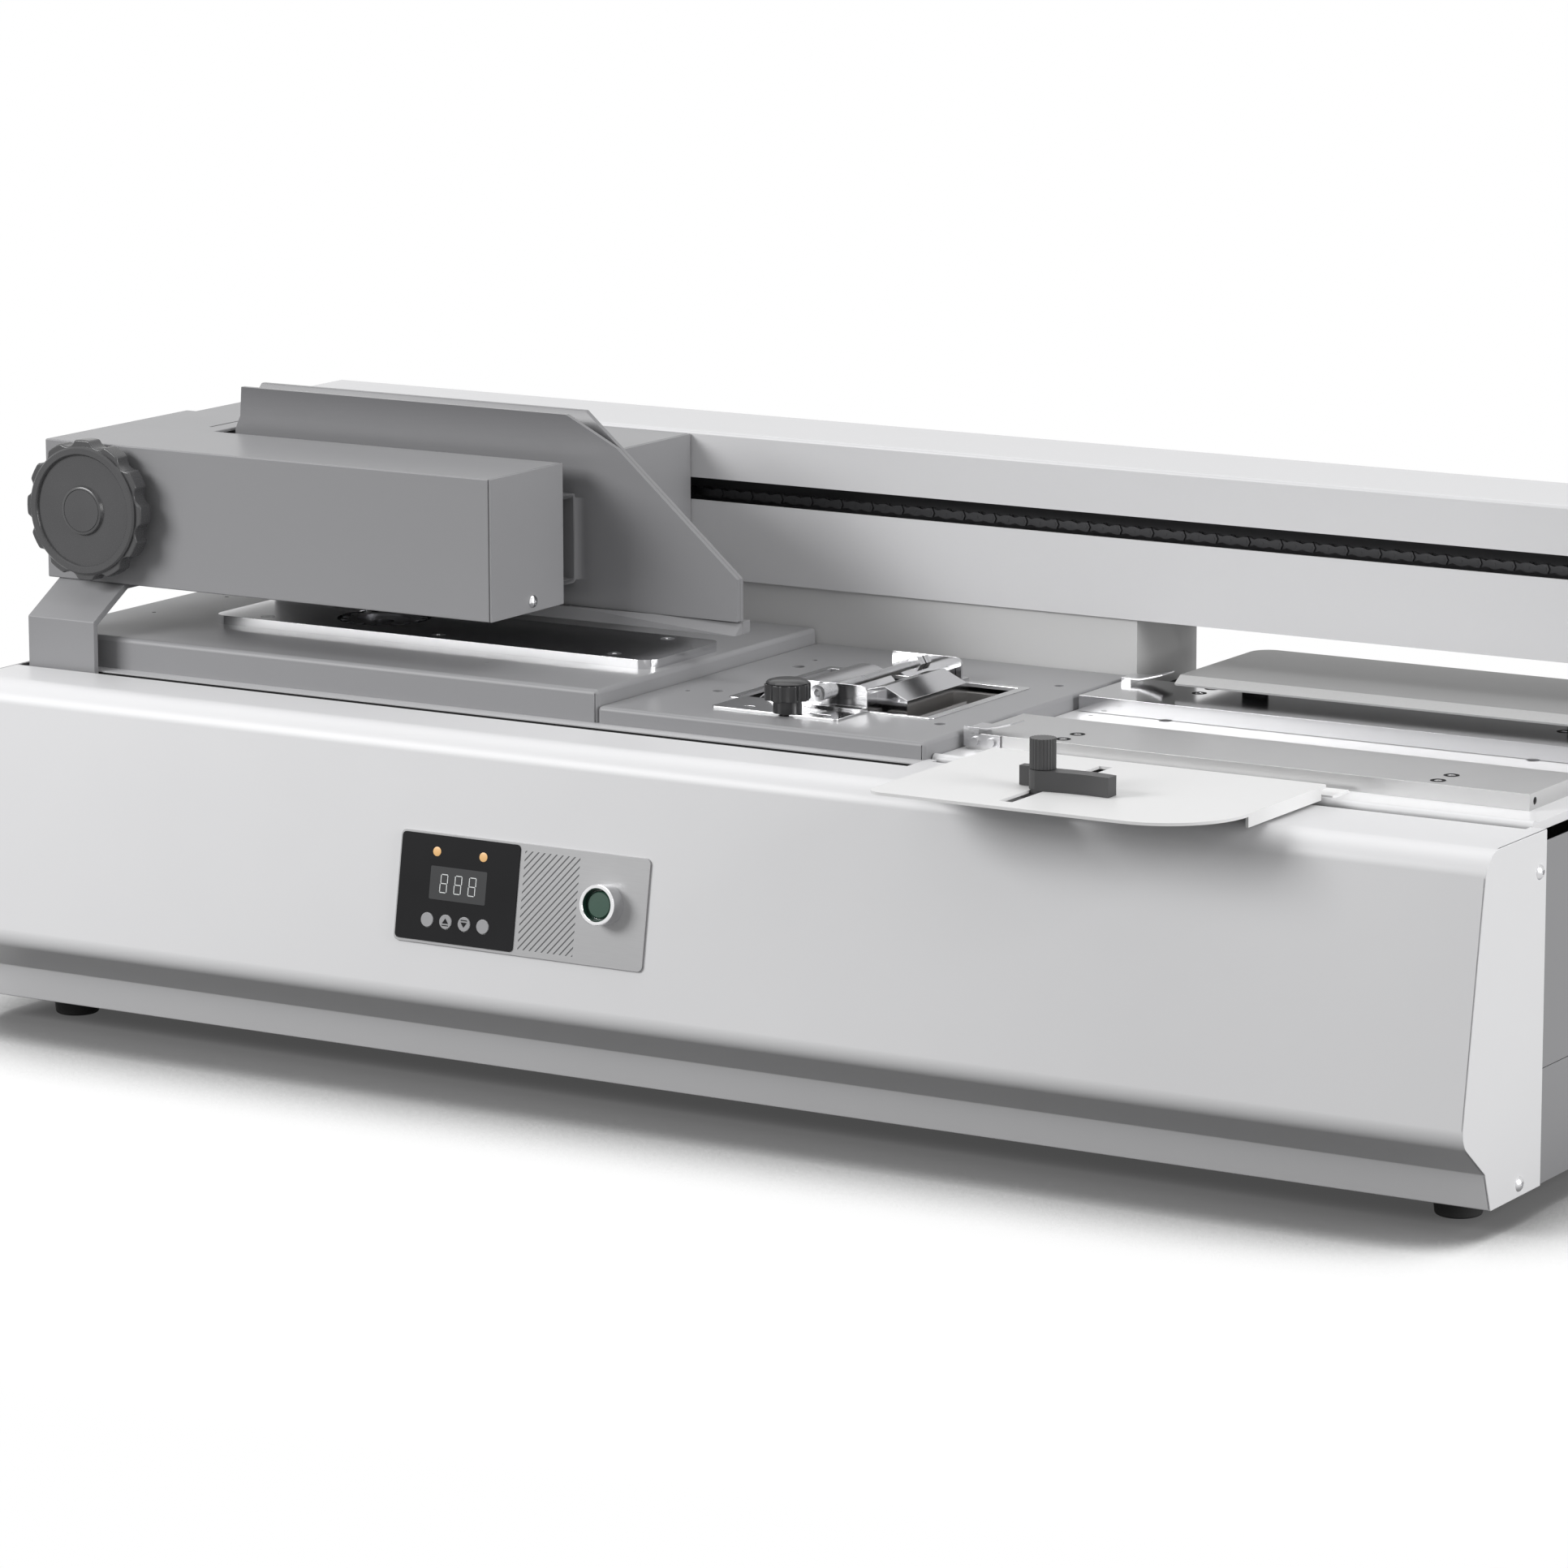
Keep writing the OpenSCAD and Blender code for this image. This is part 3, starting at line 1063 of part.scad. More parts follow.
place() front_cover();
place() base_pan();
place() side_panels();
place() rear_panel();
place() inner_frames();
place() top_deck();
place() rubber_feet();
place() screws();
place() milling_box();
place() levelling_plate();
place() milling_motor();
place() glue_box();
place() glue_plate();
place() glue_tank();
place() scraper_box();
place() roller_cheeks();
place() adjuster_rod();
place() gantry_cover();
place() gantry_beam();
place() gantry_stand();
place() drive_chain();
place() drive_motor();
place() lift_bushes();
place() lift_actuator();
place() control_panel();
place() display_bezel();
place() indicator_lamps();
place() start_bezel();
place() power_inlet();
place() front_box();
place() carriage_arm();
place() rear_hood();
place() front_clamp_plate();
place() carriage_leg();
place() rail_block();
place() rear_clamp_plate();
place() clamp_guides();
place() clamp_nut();
place() handwheel();
place() clamp_spindle();
place() milling_cutter();
place() glue_roller();
place() glue_knob();
place() drive_sprocket();
place() idler_sprocket();
place() nip_tray();
place() front_nip_plate();
place() front_clip();
place() feed_table();
place() rear_feed_sheet();
place() lift_rods();
place() rear_nip_plate();
place() rear_clip();
place() side_guide();
place() guide_knob();
place() start_button();
place() key_1();
place() key_2();
place() key_3();
place() key_4();
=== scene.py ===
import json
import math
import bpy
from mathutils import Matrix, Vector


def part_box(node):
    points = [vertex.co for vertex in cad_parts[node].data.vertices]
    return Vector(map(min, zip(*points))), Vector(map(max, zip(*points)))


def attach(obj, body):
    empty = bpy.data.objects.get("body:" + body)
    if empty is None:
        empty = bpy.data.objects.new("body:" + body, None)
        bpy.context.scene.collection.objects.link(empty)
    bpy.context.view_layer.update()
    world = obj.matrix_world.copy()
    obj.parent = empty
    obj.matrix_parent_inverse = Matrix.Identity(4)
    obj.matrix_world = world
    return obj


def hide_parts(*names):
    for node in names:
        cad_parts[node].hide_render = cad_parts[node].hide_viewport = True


bl_info = {
    "name": "Perfect binding machine",
    "version": (1, 0, 0),
    "blender": (4, 5, 0),
    "location": "3D View > Sidebar > Binder",
    "description": "Dresses the packed desk-top binding machine with finished pieces and materials",
    "category": "Object",
}

import bpy
from mathutils import Matrix, Vector

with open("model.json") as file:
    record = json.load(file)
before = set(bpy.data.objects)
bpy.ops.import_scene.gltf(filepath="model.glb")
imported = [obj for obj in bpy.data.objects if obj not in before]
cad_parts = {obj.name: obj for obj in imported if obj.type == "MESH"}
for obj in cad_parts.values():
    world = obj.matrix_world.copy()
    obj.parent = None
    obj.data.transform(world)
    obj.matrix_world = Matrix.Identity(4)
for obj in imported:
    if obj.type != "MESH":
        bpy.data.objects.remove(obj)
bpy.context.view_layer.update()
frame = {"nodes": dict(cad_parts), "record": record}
NODES = frame["nodes"]
SLOT_OF = {s["node"]: s["material_slot"] for s in frame["record"]["subparts"]}
BODY_OF = {n: b for b, ns in frame["record"]["behaviour"]["bodies"].items() for n in ns}
MM = 0.001
MID_Y = 0.182  # the source's own y = 0 is this far in front of the frame's origin

# sizes and places in the source's millimetres
HALF, SHEET = 600, 2.0                  # half the body's length, and the covers' sheet
FOOT, TOP, BACK = 19.0, 252.5, 74.0     # the cover's lower edge, its top and that top's rear edge
COVER = [(BACK, TOP), (-13, TOP), (-43.7, 71), (-9, 44.5), (0, FOOT), (18, FOOT)]
COVER_RADII = [0, 19, 15, 3, 1.5, 0]
SLOPE = 30.7 / 181.5                    # how far the cover's face comes forward for each millimetre down
LEG_SLOT = (45.5, 146)                  # the slot's front edge, and its right end
LIP_GAP = (152, 588, 7)                 # beside the nip table the cover's top is this much narrower
GLUE_TOP, NIP_TOP = 264.5, 264.5
CUTTER = (-386.5, 205)
MILL_HOLES = ((-566, 168), (-560, 250), (-240, 120))
MOUTH = (-50, 102, 147, 273.2)
MOUTH_HOLES = ((-23.4, 13, 8), (-24.7, 123, 9), (171, -15, 8), (171, 151.5, 7), (-28, 150.6, 4), (-42, 3, 4))
KNOB = (15, 107.6)
WHEEL = (-549.4, 366.3)
GUIDES, GUIDE_Z = (-455, -270), 345
CHAIN = (369.5, 365.5, 559.0, 24.535)   # depth, height of the upper strand, half length, wheel radius
SLOT_X, SLOT_Z = 586, (361.5, 378)      # the gantry's long slot
REAR_SHEET = (321, 275.55)              # behind and below these lies the rear feed sheet's underside, coloured near-black as painted shade
NIP_SCREW_X = (219, 497)
BOX_SCREW = (-212.45, 137, 319)
# the front clamp plate's channel, in metres: the part behind CHANNEL_FROM ends at CHANNEL_END
CHANNEL_FROM, CHANNEL_END, CHANNEL_Y = -0.2120, -0.2145, 0.1958 - MID_Y
ARM_STRETCH = 0.030                     # the side guide's arm is drawn in over its last stretch, in metres
# the control panel, along x and up z on the cover's leaning face
DISPLAY_X, PANEL_X, PANEL_Z = -163.0, -112.0, 148.0
PANEL_HALF, PANEL_DROP = 101, 1.6
KEY_NODES = ("key_1", "key_2", "key_3", "key_4")
KEY_SHIFT = (1.3, 2.2)
KEY_X = tuple(DISPLAY_X - 22.7 + i * 15.2 for i in range(4))
KEY_Z, LAMP_Z = 125.8, 172.3
LAMP_X = (DISPLAY_X - 19.1, DISPLAY_X + 18.9)
WINDOW_Z = PANEL_Z + 3.3
FIGURE_STEP = 11.6
START = (-43.0, 151.2)
# the panel's printed lines, in metres: step, share of the step, centre and half size of the block
HATCH_STEP, HATCH_WEIGHT = (0.0049, 0.0054), 0.25
HATCH_CENTRE, HATCH_HALF = (-0.0890, 0.1472), (0.0223, 0.0332)


# ---------------------------------------------------------------- settings


class BinderSizes(bpy.types.PropertyGroup):
    bend: bpy.props.FloatProperty(
        name="Sheet bend", description="Outer radius of the bends in the sheet boxes",
        default=0.0011, min=0.001, max=0.005, subtype="DISTANCE", unit="LENGTH")
    cover_bend: bpy.props.IntProperty(
        name="Cover smoothness", description="Steps in each round corner of the front cover",
        default=20, min=6, max=40)
    link_pitch: bpy.props.FloatProperty(
        name="Chain pitch", description="Distance between the chain's pins",
        default=0.0127, min=0.008, max=0.02, subtype="DISTANCE", unit="LENGTH")


class BinderFinish(bpy.types.PropertyGroup):
    cover_paint: bpy.props.FloatVectorProperty(
        name="Cover paint", description="Light grey of the cover, gantry and tables",
        default=(0.69, 0.69, 0.70), min=0, max=1, subtype="COLOR", size=3)
    box_paint: bpy.props.FloatVectorProperty(
        name="Box paint", description="Mid grey of the carriage and station boxes",
        default=(0.275, 0.275, 0.283), min=0, max=1, subtype="COLOR", size=3)
    button: bpy.props.FloatVectorProperty(
        name="Start button", description="Dark green of the start button's cap",
        default=(0.035, 0.085, 0.06), min=0, max=1, subtype="COLOR", size=3)
    lamp: bpy.props.FloatVectorProperty(
        name="Lamps", description="Amber of the two indicator lamps",
        default=(0.80, 0.48, 0.20), min=0, max=1, subtype="COLOR", size=3)


# ---------------------------------------------------------------- materials


class Wire:
    """A socket that can be used in Python arithmetic: each operator adds a Math node."""

    def __init__(self, tree, socket):
        self.tree, self.socket = tree, socket

    def _math(self, operation, *values):
        node = self.tree.nodes.new("ShaderNodeMath")
        node.operation = operation
        for i, value in enumerate(values):
            if isinstance(value, Wire):
                self.tree.links.new(value.socket, node.inputs[i])
            else:
                node.inputs[i].default_value = value
        return Wire(self.tree, node.outputs[0])

    def __add__(self, other):
        return self._math("ADD", self, other)

    def __radd__(self, other):
        return self._math("ADD", other, self)

    def __sub__(self, other):
        return self._math("SUBTRACT", self, other)

    def __rsub__(self, other):
        return self._math("SUBTRACT", other, self)

    def __mul__(self, other):
        return self._math("MULTIPLY", self, other)

    def __rmul__(self, other):
        return self._math("MULTIPLY", other, self)

    def __truediv__(self, other):
        return self._math("DIVIDE", self, other)

    def __rtruediv__(self, other):
        return self._math("DIVIDE", other, self)

    def above(self, edge):
        return self._math("GREATER_THAN", self, edge)

    def below(self, edge):
        return self._math("LESS_THAN", self, edge)

    def most(self, other):
        return self._math("MAXIMUM", self, other)

    def size(self):
        return self._math("ABSOLUTE", self)

    def part(self):
        return self._math("FRACT", self)

    def clamp(self):
        return self._math("MINIMUM", self._math("MAXIMUM", self, 0.0), 1.0)


class Finish:
    """One procedural material, built on a Principled shader."""

    def __init__(self, name, color, roughness, metallic=0.0, **fixed):
        self.material = bpy.data.materials.new(name)
        self.material.use_nodes = True
        self.tree = self.material.node_tree
        self.shader = self.tree.nodes["Principled BSDF"]
        self.set("Base Color", (*color, 1.0))
        self.set("Roughness", roughness)
        self.set("Metallic", metallic)
        for key, value in fixed.items():
            self.set(key.replace("_", " "), value)
        self.material.diffuse_color = (*color, 1.0)
        self._coords = None

    def set(self, socket, value):
        if isinstance(value, Wire):
            self.tree.links.new(value.socket, self.shader.inputs[socket])
        else:
            self.shader.inputs[socket].default_value = value

    def node(self, kind, settings=None, **inputs):
        node = self.tree.nodes.new(kind)
        for key, value in (settings or {}).items():
            setattr(node, key, value)
        for key, value in inputs.items():
            socket = node.inputs[key.replace("_", " ")]
            if isinstance(value, Wire):
                self.tree.links.new(value.socket, socket)
            else:
                socket.default_value = value
        return node

    def out(self, node, name=0):
        return Wire(self.tree, node.outputs[name])

    def place(self):
        if self._coords is None:
            self._coords = self.out(self.node("ShaderNodeTexCoord"), "Object")
        return self._coords

    def xyz(self):
        parts = self.node("ShaderNodeSeparateXYZ", Vector=self.place())
        return [self.out(parts, axis) for axis in ("X", "Y", "Z")]

    def stretched(self, x, y, z):
        return self.out(self.node("ShaderNodeMapping", Vector=self.place(), Scale=(x, y, z)))

    def noise(self, scale, detail=2.0, rough=0.5, vector=None):
        node = self.node("ShaderNodeTexNoise", None, Vector=vector or self.place(),
                         Scale=scale, Detail=detail, Roughness=rough)
        return self.out(node, 0)

    def mix(self, amount, low, high):
        node = self.node("ShaderNodeMix", {"data_type": "RGBA"})
        for index, value in ((0, amount), (6, low), (7, high)):
            if isinstance(value, Wire):
                self.tree.links.new(value.socket, node.inputs[index])
            else:
                node.inputs[index].default_value = value if index == 0 else (*value, 1.0)
        return Wire(self.tree, node.outputs[2])

    def bump(self, height, distance, strength=1.0):
        node = self.node("ShaderNodeBump", None, Height=height, Distance=distance, Strength=strength)
        self.set("Normal", self.out(node))


def shade(color, k):
    return tuple(min(1.0, c * k) for c in color)


def painted(name, color, roughness, peel=0.00003, ior=1.4):
    """Powder coat: a fine orange peel, a slow change of shade and a slight change of gloss."""
    f = Finish(name, color, roughness, IOR=ior)
    cloud = f.noise(9.0, 3.0, 0.6)
    speck = f.noise(900.0, 1.0)
    f.set("Base Color", f.mix(cloud * 0.7 + speck * 0.3, shade(color, 0.975), shade(color, 1.02)))
    f.set("Roughness", cloud * 0.06 + (roughness - 0.03))
    f.bump(f.noise(1400.0, 2.0, 0.5), peel, 0.35)
    return f.material


def polished(name, color, roughness, grain=(4, 4, 4), wear=0.03):
    """Bright metal with a faint directional grain and soft handling marks."""
    f = Finish(name, color, roughness, 1.0)
    lines = f.noise(60.0, 3.0, 0.6, f.stretched(*grain))
    marks = f.noise(14.0, 4.0, 0.65)
    f.set("Base Color", f.mix(marks, shade(color, 0.95), shade(color, 1.03)))
    f.set("Roughness", marks * wear + lines * wear + (roughness - wear * 0.6))
    f.bump(lines, 0.00001, 0.25)
    return f.material


def moulded(name, color, roughness, grain=1800.0, ior=1.48):
    """Moulded plastic with a fine spark texture."""
    f = Finish(name, color, roughness, IOR=ior)
    speck = f.noise(grain, 2.0, 0.6)
    cloud = f.noise(25.0, 2.0)
    f.set("Base Color", f.mix(cloud, shade(color, 0.85), shade(color, 1.2)))
    f.set("Roughness", speck * 0.12 + (roughness - 0.06))
    f.bump(speck, 0.00003, 0.4)
    return f.material


def panel_finish():
    """Brushed alloy with a block of slanting printed lines between the display and the start button."""
    f = Finish("brushed_panel", (0.33, 0.33, 0.335), 0.42, 0.35, IOR=1.35)
    x, _, z = f.xyz()
    grain = f.noise(70.0, 4.0, 0.6, f.stretched(1, 30, 30))
    line = (x / HATCH_STEP[0] - z / HATCH_STEP[1]).part().below(HATCH_WEIGHT)
    across = (x - HATCH_CENTRE[0]).size().below(HATCH_HALF[0])
    within = across * (z - HATCH_CENTRE[1]).size().below(HATCH_HALF[1])
    face = f.mix(grain, (0.31, 0.31, 0.315), (0.36, 0.36, 0.365))
    f.set("Base Color", f.mix(line * within, face, (0.075, 0.075, 0.078)))
    f.set("Roughness", grain * 0.12 + 0.36)
    f.bump(grain, 0.00001, 0.3)
    return f.material


def sheet_finish():
    """The rear sheet: satin on top, with painted shade: its underside is coloured near-black, and the nip
    plate below reflects it.
    """
    f = Finish("satin_sheet", (0.39, 0.39, 0.39), 0.38, 0.3, IOR=1.35)
    _, y, z = f.xyz()
    grain = f.noise(300.0, 3.0, 0.6)
    # painted shade: below and behind these edges the sheet's underside is coloured near-black
    painted_shade_under = z.below(REAR_SHEET[1] * MM) * y.above(REAR_SHEET[0] * MM - MID_Y)
    top = f.mix(grain, (0.37, 0.37, 0.37), (0.41, 0.41, 0.41))
    f.set("Base Color", f.mix(painted_shade_under, top, (0.008, 0.008, 0.008)))
    f.set("Roughness", grain * 0.1 + 0.34)
    f.bump(grain, 0.00002, 0.4)
    return f.material


def deck_finish():
    """The deck's painted sheet, whose turned-down flange beside the slot is coloured black as painted shade
    in the slot.
    """
    f = Finish("deck_paint", (0.50, 0.50, 0.51), 0.4, IOR=1.4)
    _, _, z = f.xyz()
    cloud = f.noise(20.0, 3.0)
    top = f.mix(cloud, (0.48, 0.48, 0.49), (0.52, 0.52, 0.53))
    # painted shade: below the deck's top the flange is coloured black, darkening the slot between the cover
    # and the boxes
    f.set("Base Color", f.mix(z.below((TOP - 0.9) * MM), top, (0.01, 0.01, 0.01)))
    f.set("Roughness", cloud * 0.1 + 0.36)
    f.bump(f.noise(1400.0), 0.00003, 0.3)
    return f.material


def make_materials(finish):
    m = {}
    m["white_sheet"] = painted("cover_paint", tuple(finish.cover_paint), 0.34)
    m["table_sheet"] = painted("table_paint", (0.72, 0.72, 0.72), 0.42)
    m["grey_sheet"] = painted("box_paint", tuple(finish.box_paint), 0.34, ior=1.3)
    m["clamp_paint"] = painted("clamp_paint", (0.22, 0.22, 0.227), 0.30, ior=1.35)
    m["dark_paint"] = painted("frame_paint", (0.09, 0.09, 0.095), 0.5)
    m["gantry_sheet"] = painted("gantry_paint", (0.62, 0.62, 0.63), 0.36, 0.00005)
    m["deck_sheet"] = deck_finish()
    m["polished_plate"] = polished("polished_steel", (0.74, 0.74, 0.75), 0.10)
    m["bright_steel"] = polished("ground_steel", (0.62, 0.62, 0.63), 0.26, (1, 18, 18), 0.06)
    m["roller_chrome"] = polished("roller_plate", (0.70, 0.70, 0.71), 0.16, (10, 1, 10))
    # painted shade: the cutter is coloured far darker than steel, so that it sits dark in its hole under the
    # box
    m["cutter_steel"] = polished("cutter_steel", (0.16, 0.16, 0.17), 0.34)
    m["tank_alloy"] = polished("tank_alloy", (0.42, 0.41, 0.40), 0.42, (3, 3, 3), 0.12)
    m["bush_alloy"] = polished("bush_alloy", (0.45, 0.45, 0.46), 0.36)
    m["black_plastic"] = moulded("black_plastic", (0.016, 0.016, 0.017), 0.20)
    m["wheel_plastic"] = moulded("wheel_plastic", (0.060, 0.060, 0.062), 0.26)
    m["black_rubber"] = moulded("black_rubber", (0.028, 0.028, 0.028), 0.75, 900.0)
    m["chain_steel"] = polished("chain_steel", (0.05, 0.05, 0.052), 0.42, (5, 5, 5), 0.1)
    m["brushed_panel"] = panel_finish()
    m["display_black"] = moulded("display_film", (0.013, 0.013, 0.014), 0.5, 2400.0, 1.18)
    m["amber_lamp"] = moulded("amber_lens", tuple(finish.lamp), 0.35, 2400.0)
    m["bezel_chrome"] = polished("bezel_chrome", (0.80, 0.80, 0.81), 0.12)
    m["green_button"] = moulded("button_cap", tuple(finish.button), 0.25, 2400.0)
    m["dark_green"] = moulded("button_well", (0.012, 0.045, 0.030), 0.3, 2400.0)
    m["key_grey"] = moulded("key_top", (0.30, 0.30, 0.31), 0.42)
    m["satin_sheet"] = sheet_finish()
    m["stand_sheet"] = painted("stand_paint", (0.56, 0.56, 0.56), 0.36)
    m["nip_steel"] = polished("nip_steel", (0.60, 0.60, 0.60), 0.3, (1, 14, 14), 0.05)
    m["nip_plate"] = polished("nip_plate", (0.60, 0.60, 0.61), 0.13)
    m["black_screw"] = moulded("black_screw", (0.012, 0.012, 0.012), 0.5, 2400.0, 1.1)
    m["matt_plastic"] = moulded("guide_plastic", (0.040, 0.040, 0.041), 0.42)
    m["figure_white"] = moulded("figure_film", (0.72, 0.74, 0.74), 0.5, 2400.0)
    m["window_film"] = moulded("window_film", (0.055, 0.056, 0.058), 0.4, 2400.0, 1.25)
    return m


MATERIALS = {}


def paint(obj, slot):
    obj.data.materials.clear()
    obj.data.materials.append(MATERIALS[slot])
    return obj


# ---------------------------------------------------------------- modelling by hand


def fresh():
    """Leaves edit mode and deselects everything."""
    if bpy.context.object and bpy.context.object.mode != "OBJECT":
        bpy.ops.object.mode_set(mode="OBJECT")
    bpy.ops.object.select_all(action="DESELECT")


def hold(obj):
    fresh()
    obj.select_set(True)
    bpy.context.view_layer.objects.active = obj
    return obj


def settle(obj):
    hold(obj)
    bpy.ops.object.transform_apply(location=True, rotation=True, scale=True)
    return obj


def named(name):
    obj = bpy.context.object
    obj.name = name
    obj.data.name = name
    return obj


def in_frame(x, y, z):
    """A point given in the source's millimetres, in the frame's metres."""
    return Vector((x * MM, y * MM - MID_Y, z * MM))


def smooth(obj, angle=35):
    """Smooth shading below the angle, with the large flats kept flat."""
    hold(obj)
    bpy.ops.object.shade_smooth_by_angle(angle=math.radians(angle))
    even = obj.modifiers.new("even", "WEIGHTED_NORMAL")
    even.weight = 80
    even.keep_sharp = True
    bpy.ops.object.modifier_apply(modifier=even.name)
    return obj


def bevel(obj, width, segments=2, angle=35):
    """Rounds every edge sharper than the angle."""
    hold(obj)
    tool = obj.modifiers.new("bevel", "BEVEL")
    tool.width = width
    tool.segments = segments
    tool.limit_method = "ANGLE"
    tool.angle_limit = math.radians(angle)
    tool.harden_normals = False
    bpy.ops.object.modifier_apply(modifier=tool.name)
    return obj


def cut(obj, *cutters):
    """Takes the cutters out of the piece."""
    for cutter in cutters:
        hold(obj)
        tool = obj.modifiers.new("cut", "BOOLEAN")
        tool.operation = "DIFFERENCE"
        tool.solver = "EXACT"
        tool.object = cutter
        bpy.ops.object.modifier_apply(modifier=tool.name)
        bpy.data.objects.remove(cutter)
    return obj


def join(name, *objs):
    fresh()
    for o in objs:
        o.select_set(True)
    bpy.context.view_layer.objects.active = objs[0]
    bpy.ops.object.join()
    return named(name)


def block(name, low, high, width=0.0, segments=2):
    """A block between two corners in the source's millimetres, with rounded edges."""
    a, b = in_frame(*low), in_frame(*high)
    fresh()
    bpy.ops.mesh.primitive_cube_add(size=1, location=(a + b) / 2, scale=b - a)
    obj = settle(named(name))
    if width:
        bevel(obj, width, segments)
    return smooth(obj)


def plate(name, points, axis, low, high, width=0.0, segments=2, angle=35):
    """A flat outline drawn out along an axis; points are millimetres in the other two axes."""
    fresh()
    bpy.ops.mesh.primitive_circle_add(vertices=len(points), radius=1, fill_type="NGON")
    obj = named(name)
    for v, (a, b) in zip(obj.data.vertices, points):
        v.co = in_frame(*{"x": (low, a, b), "y": (a, low, b), "z": (a, b, low)}[axis])
    step = Vector({"x": (1, 0, 0), "y": (0, 1, 0), "z": (0, 0, 1)}[axis]) * (high - low) * MM
    bpy.ops.object.mode_set(mode="EDIT")
    bpy.ops.mesh.select_all(action="SELECT")
    bpy.ops.mesh.extrude_region_move(TRANSFORM_OT_translate={"value": step})
    bpy.ops.mesh.select_all(action="SELECT")
    bpy.ops.mesh.normals_make_consistent(inside=False)
    bpy.ops.object.mode_set(mode="OBJECT")
    if width:
        bevel(obj, width, segments, angle)
    return smooth(obj)


def turned(name, profile, axis, centre, steps=48):
    """A closed profile of (radius, height) spun about an axis through a point in millimetres."""
    fresh()
    bpy.ops.mesh.primitive_circle_add(vertices=len(profile), radius=1, fill_type="NOTHING")
    obj = named(name)
    for v, (r, h) in zip(obj.data.vertices, profile):
        v.co = Vector((r * MM, 0, h * MM))
    bpy.ops.object.mode_set(mode="EDIT")
    bpy.ops.mesh.select_all(action="SELECT")
    bpy.ops.mesh.spin(steps=steps, angle=math.tau, center=(0, 0, 0), axis=(0, 0, 1))
    bpy.ops.mesh.select_all(action="SELECT")
    bpy.ops.mesh.remove_doubles(threshold=0.000005)
    bpy.ops.mesh.select_all(action="SELECT")
    bpy.ops.mesh.normals_make_consistent(inside=False)
    bpy.ops.object.mode_set(mode="OBJECT")
    obj.matrix_world = Matrix.Translation(in_frame(*centre)) @ turn_to(axis)
    settle(obj)
    return smooth(obj)


def turn_to(axis):
    """The turn that takes +Z to a direction."""
    return Vector((0, 0, 1)).rotation_difference(Vector(axis)).to_matrix().to_4x4()


def rod(name, radius, start, axis, length, edge=0.0, steps=32):
    """A round bar, its end edges chamfered."""
    if edge:
        side = [(radius - edge, 0), (radius, edge), (radius, length - edge), (radius - edge, length)]
    else:
        side = [(radius, 0), (radius, length)]
    return turned(name, [(0, 0), *side, (0, length)], axis, start, steps)


def thicken(obj):
    """Gives a folded face the sheet's thickness, on its inner side."""
    hold(obj)
    wall = obj.modifiers.new("wall", "SOLIDIFY")
    wall.thickness = SHEET * MM
    wall.offset = -1
    bpy.ops.object.modifier_apply(modifier=wall.name)
    return obj


def sheet_box(name, low, high, open_side, bend, cutters=()):
    """A folded sheet box: a block with round bends, one side taken off, then given its thickness."""
    obj = block(name, low, high)
    bevel(obj, bend, 4)
    side = Vector(open_side)
    hold(obj)
    for p in obj.data.polygons:
        p.select = p.normal.dot(side) > 0.3
    for e in obj.data.edges:
        e.select = False
    for v in obj.data.vertices:
        v.select = False
    bpy.ops.object.mode_set(mode="EDIT")
    bpy.ops.mesh.select_mode(type="FACE")
    bpy.ops.mesh.delete(type="FACE")
    bpy.ops.object.mode_set(mode="OBJECT")
    # the walls run down to the open side's plane
    axis = max(range(3), key=lambda i: abs(side[i]))
    edge = in_frame(*(high if side[axis] > 0 else low))[axis]
    for v in obj.data.vertices:
        if abs(v.co[axis] - edge) < bend * 1.01:
            v.co[axis] = edge
    thicken(obj)
    cut(obj, *cutters)
    return smooth(obj, 40)


def corner(a, b, c, r, n):
    """The points of a round corner at b, between a and c."""
    a, b, c = Vector(a), Vector(b), Vector(c)
    if r <= 0:
        return [tuple(b)]
    u, v = (a - b).normalized(), (c - b).normalized()
    half = math.acos(max(-1, min(1, u.dot(v)))) / 2
    m = b + (u + v).normalized() * (r / math.sin(half))
    s, e = b + u * (r / math.tan(half)) - m, b + v * (r / math.tan(half)) - m
    a0 = math.atan2(s.y, s.x)
    turn = (math.atan2(e.y, e.x) - a0 + 3 * math.pi) % math.tau - math.pi
    angles = [a0 + turn * i / n for i in range(n + 1)]
    return [(m.x + r * math.cos(a), m.y + r * math.sin(a)) for a in angles]


def rounded(points, radii, n=8):
    out, k = [], len(points)
    for i in range(k):
        out += corner(points[i - 1], points[i], points[(i + 1) % k], radii[i], n)
    return out


def dress(obj, slot, body, *replaced, record_slot=None):
    """Paints a finished piece, rides it on its body and hides the CAD nodes it stands for."""
    paint(obj, slot)
    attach(obj, body)
    if replaced:
        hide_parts(*replaced)
    return obj


def span(node):
    """A CAD node's corners in the source's millimetres."""
    low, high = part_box(node)
    shift = Vector((0, MID_Y, 0))
    return [c / MM for c in low + shift], [c / MM for c in high + shift]


def refit(node, mesh):
    """Moves the few edges of a copied solid that end elsewhere on the finished machine."""
    if node in KEY_NODES:  # the keys sit a little to the right and down the leaning face
        across, down = KEY_SHIFT
        lean = math.atan(SLOPE)
        step = Vector((across, -down * math.sin(lean), -down * math.cos(lean)))
        mesh.transform(Matrix.Translation(step * MM))
    for v in mesh.vertices:
        x, y, z = v.co
        if node == "control_panel" and z < (PANEL_Z - 30) * MM:
            v.co += Vector((0, -SLOPE, -1)) * PANEL_DROP * MM
        if node == "front_clamp_plate" and x > CHANNEL_FROM and y < CHANNEL_Y and 0.3 < z < 0.4:
            v.co.x = CHANNEL_END  # the channel ends just inside the box's end
    if node == "side_guide":  # the arm is drawn in over its last stretch
        end = max(v.co.x for v in mesh.vertices)
        for v in mesh.vertices:
            v.co.x -= max(0.0, v.co.x - end + ARM_STRETCH) * 0.2


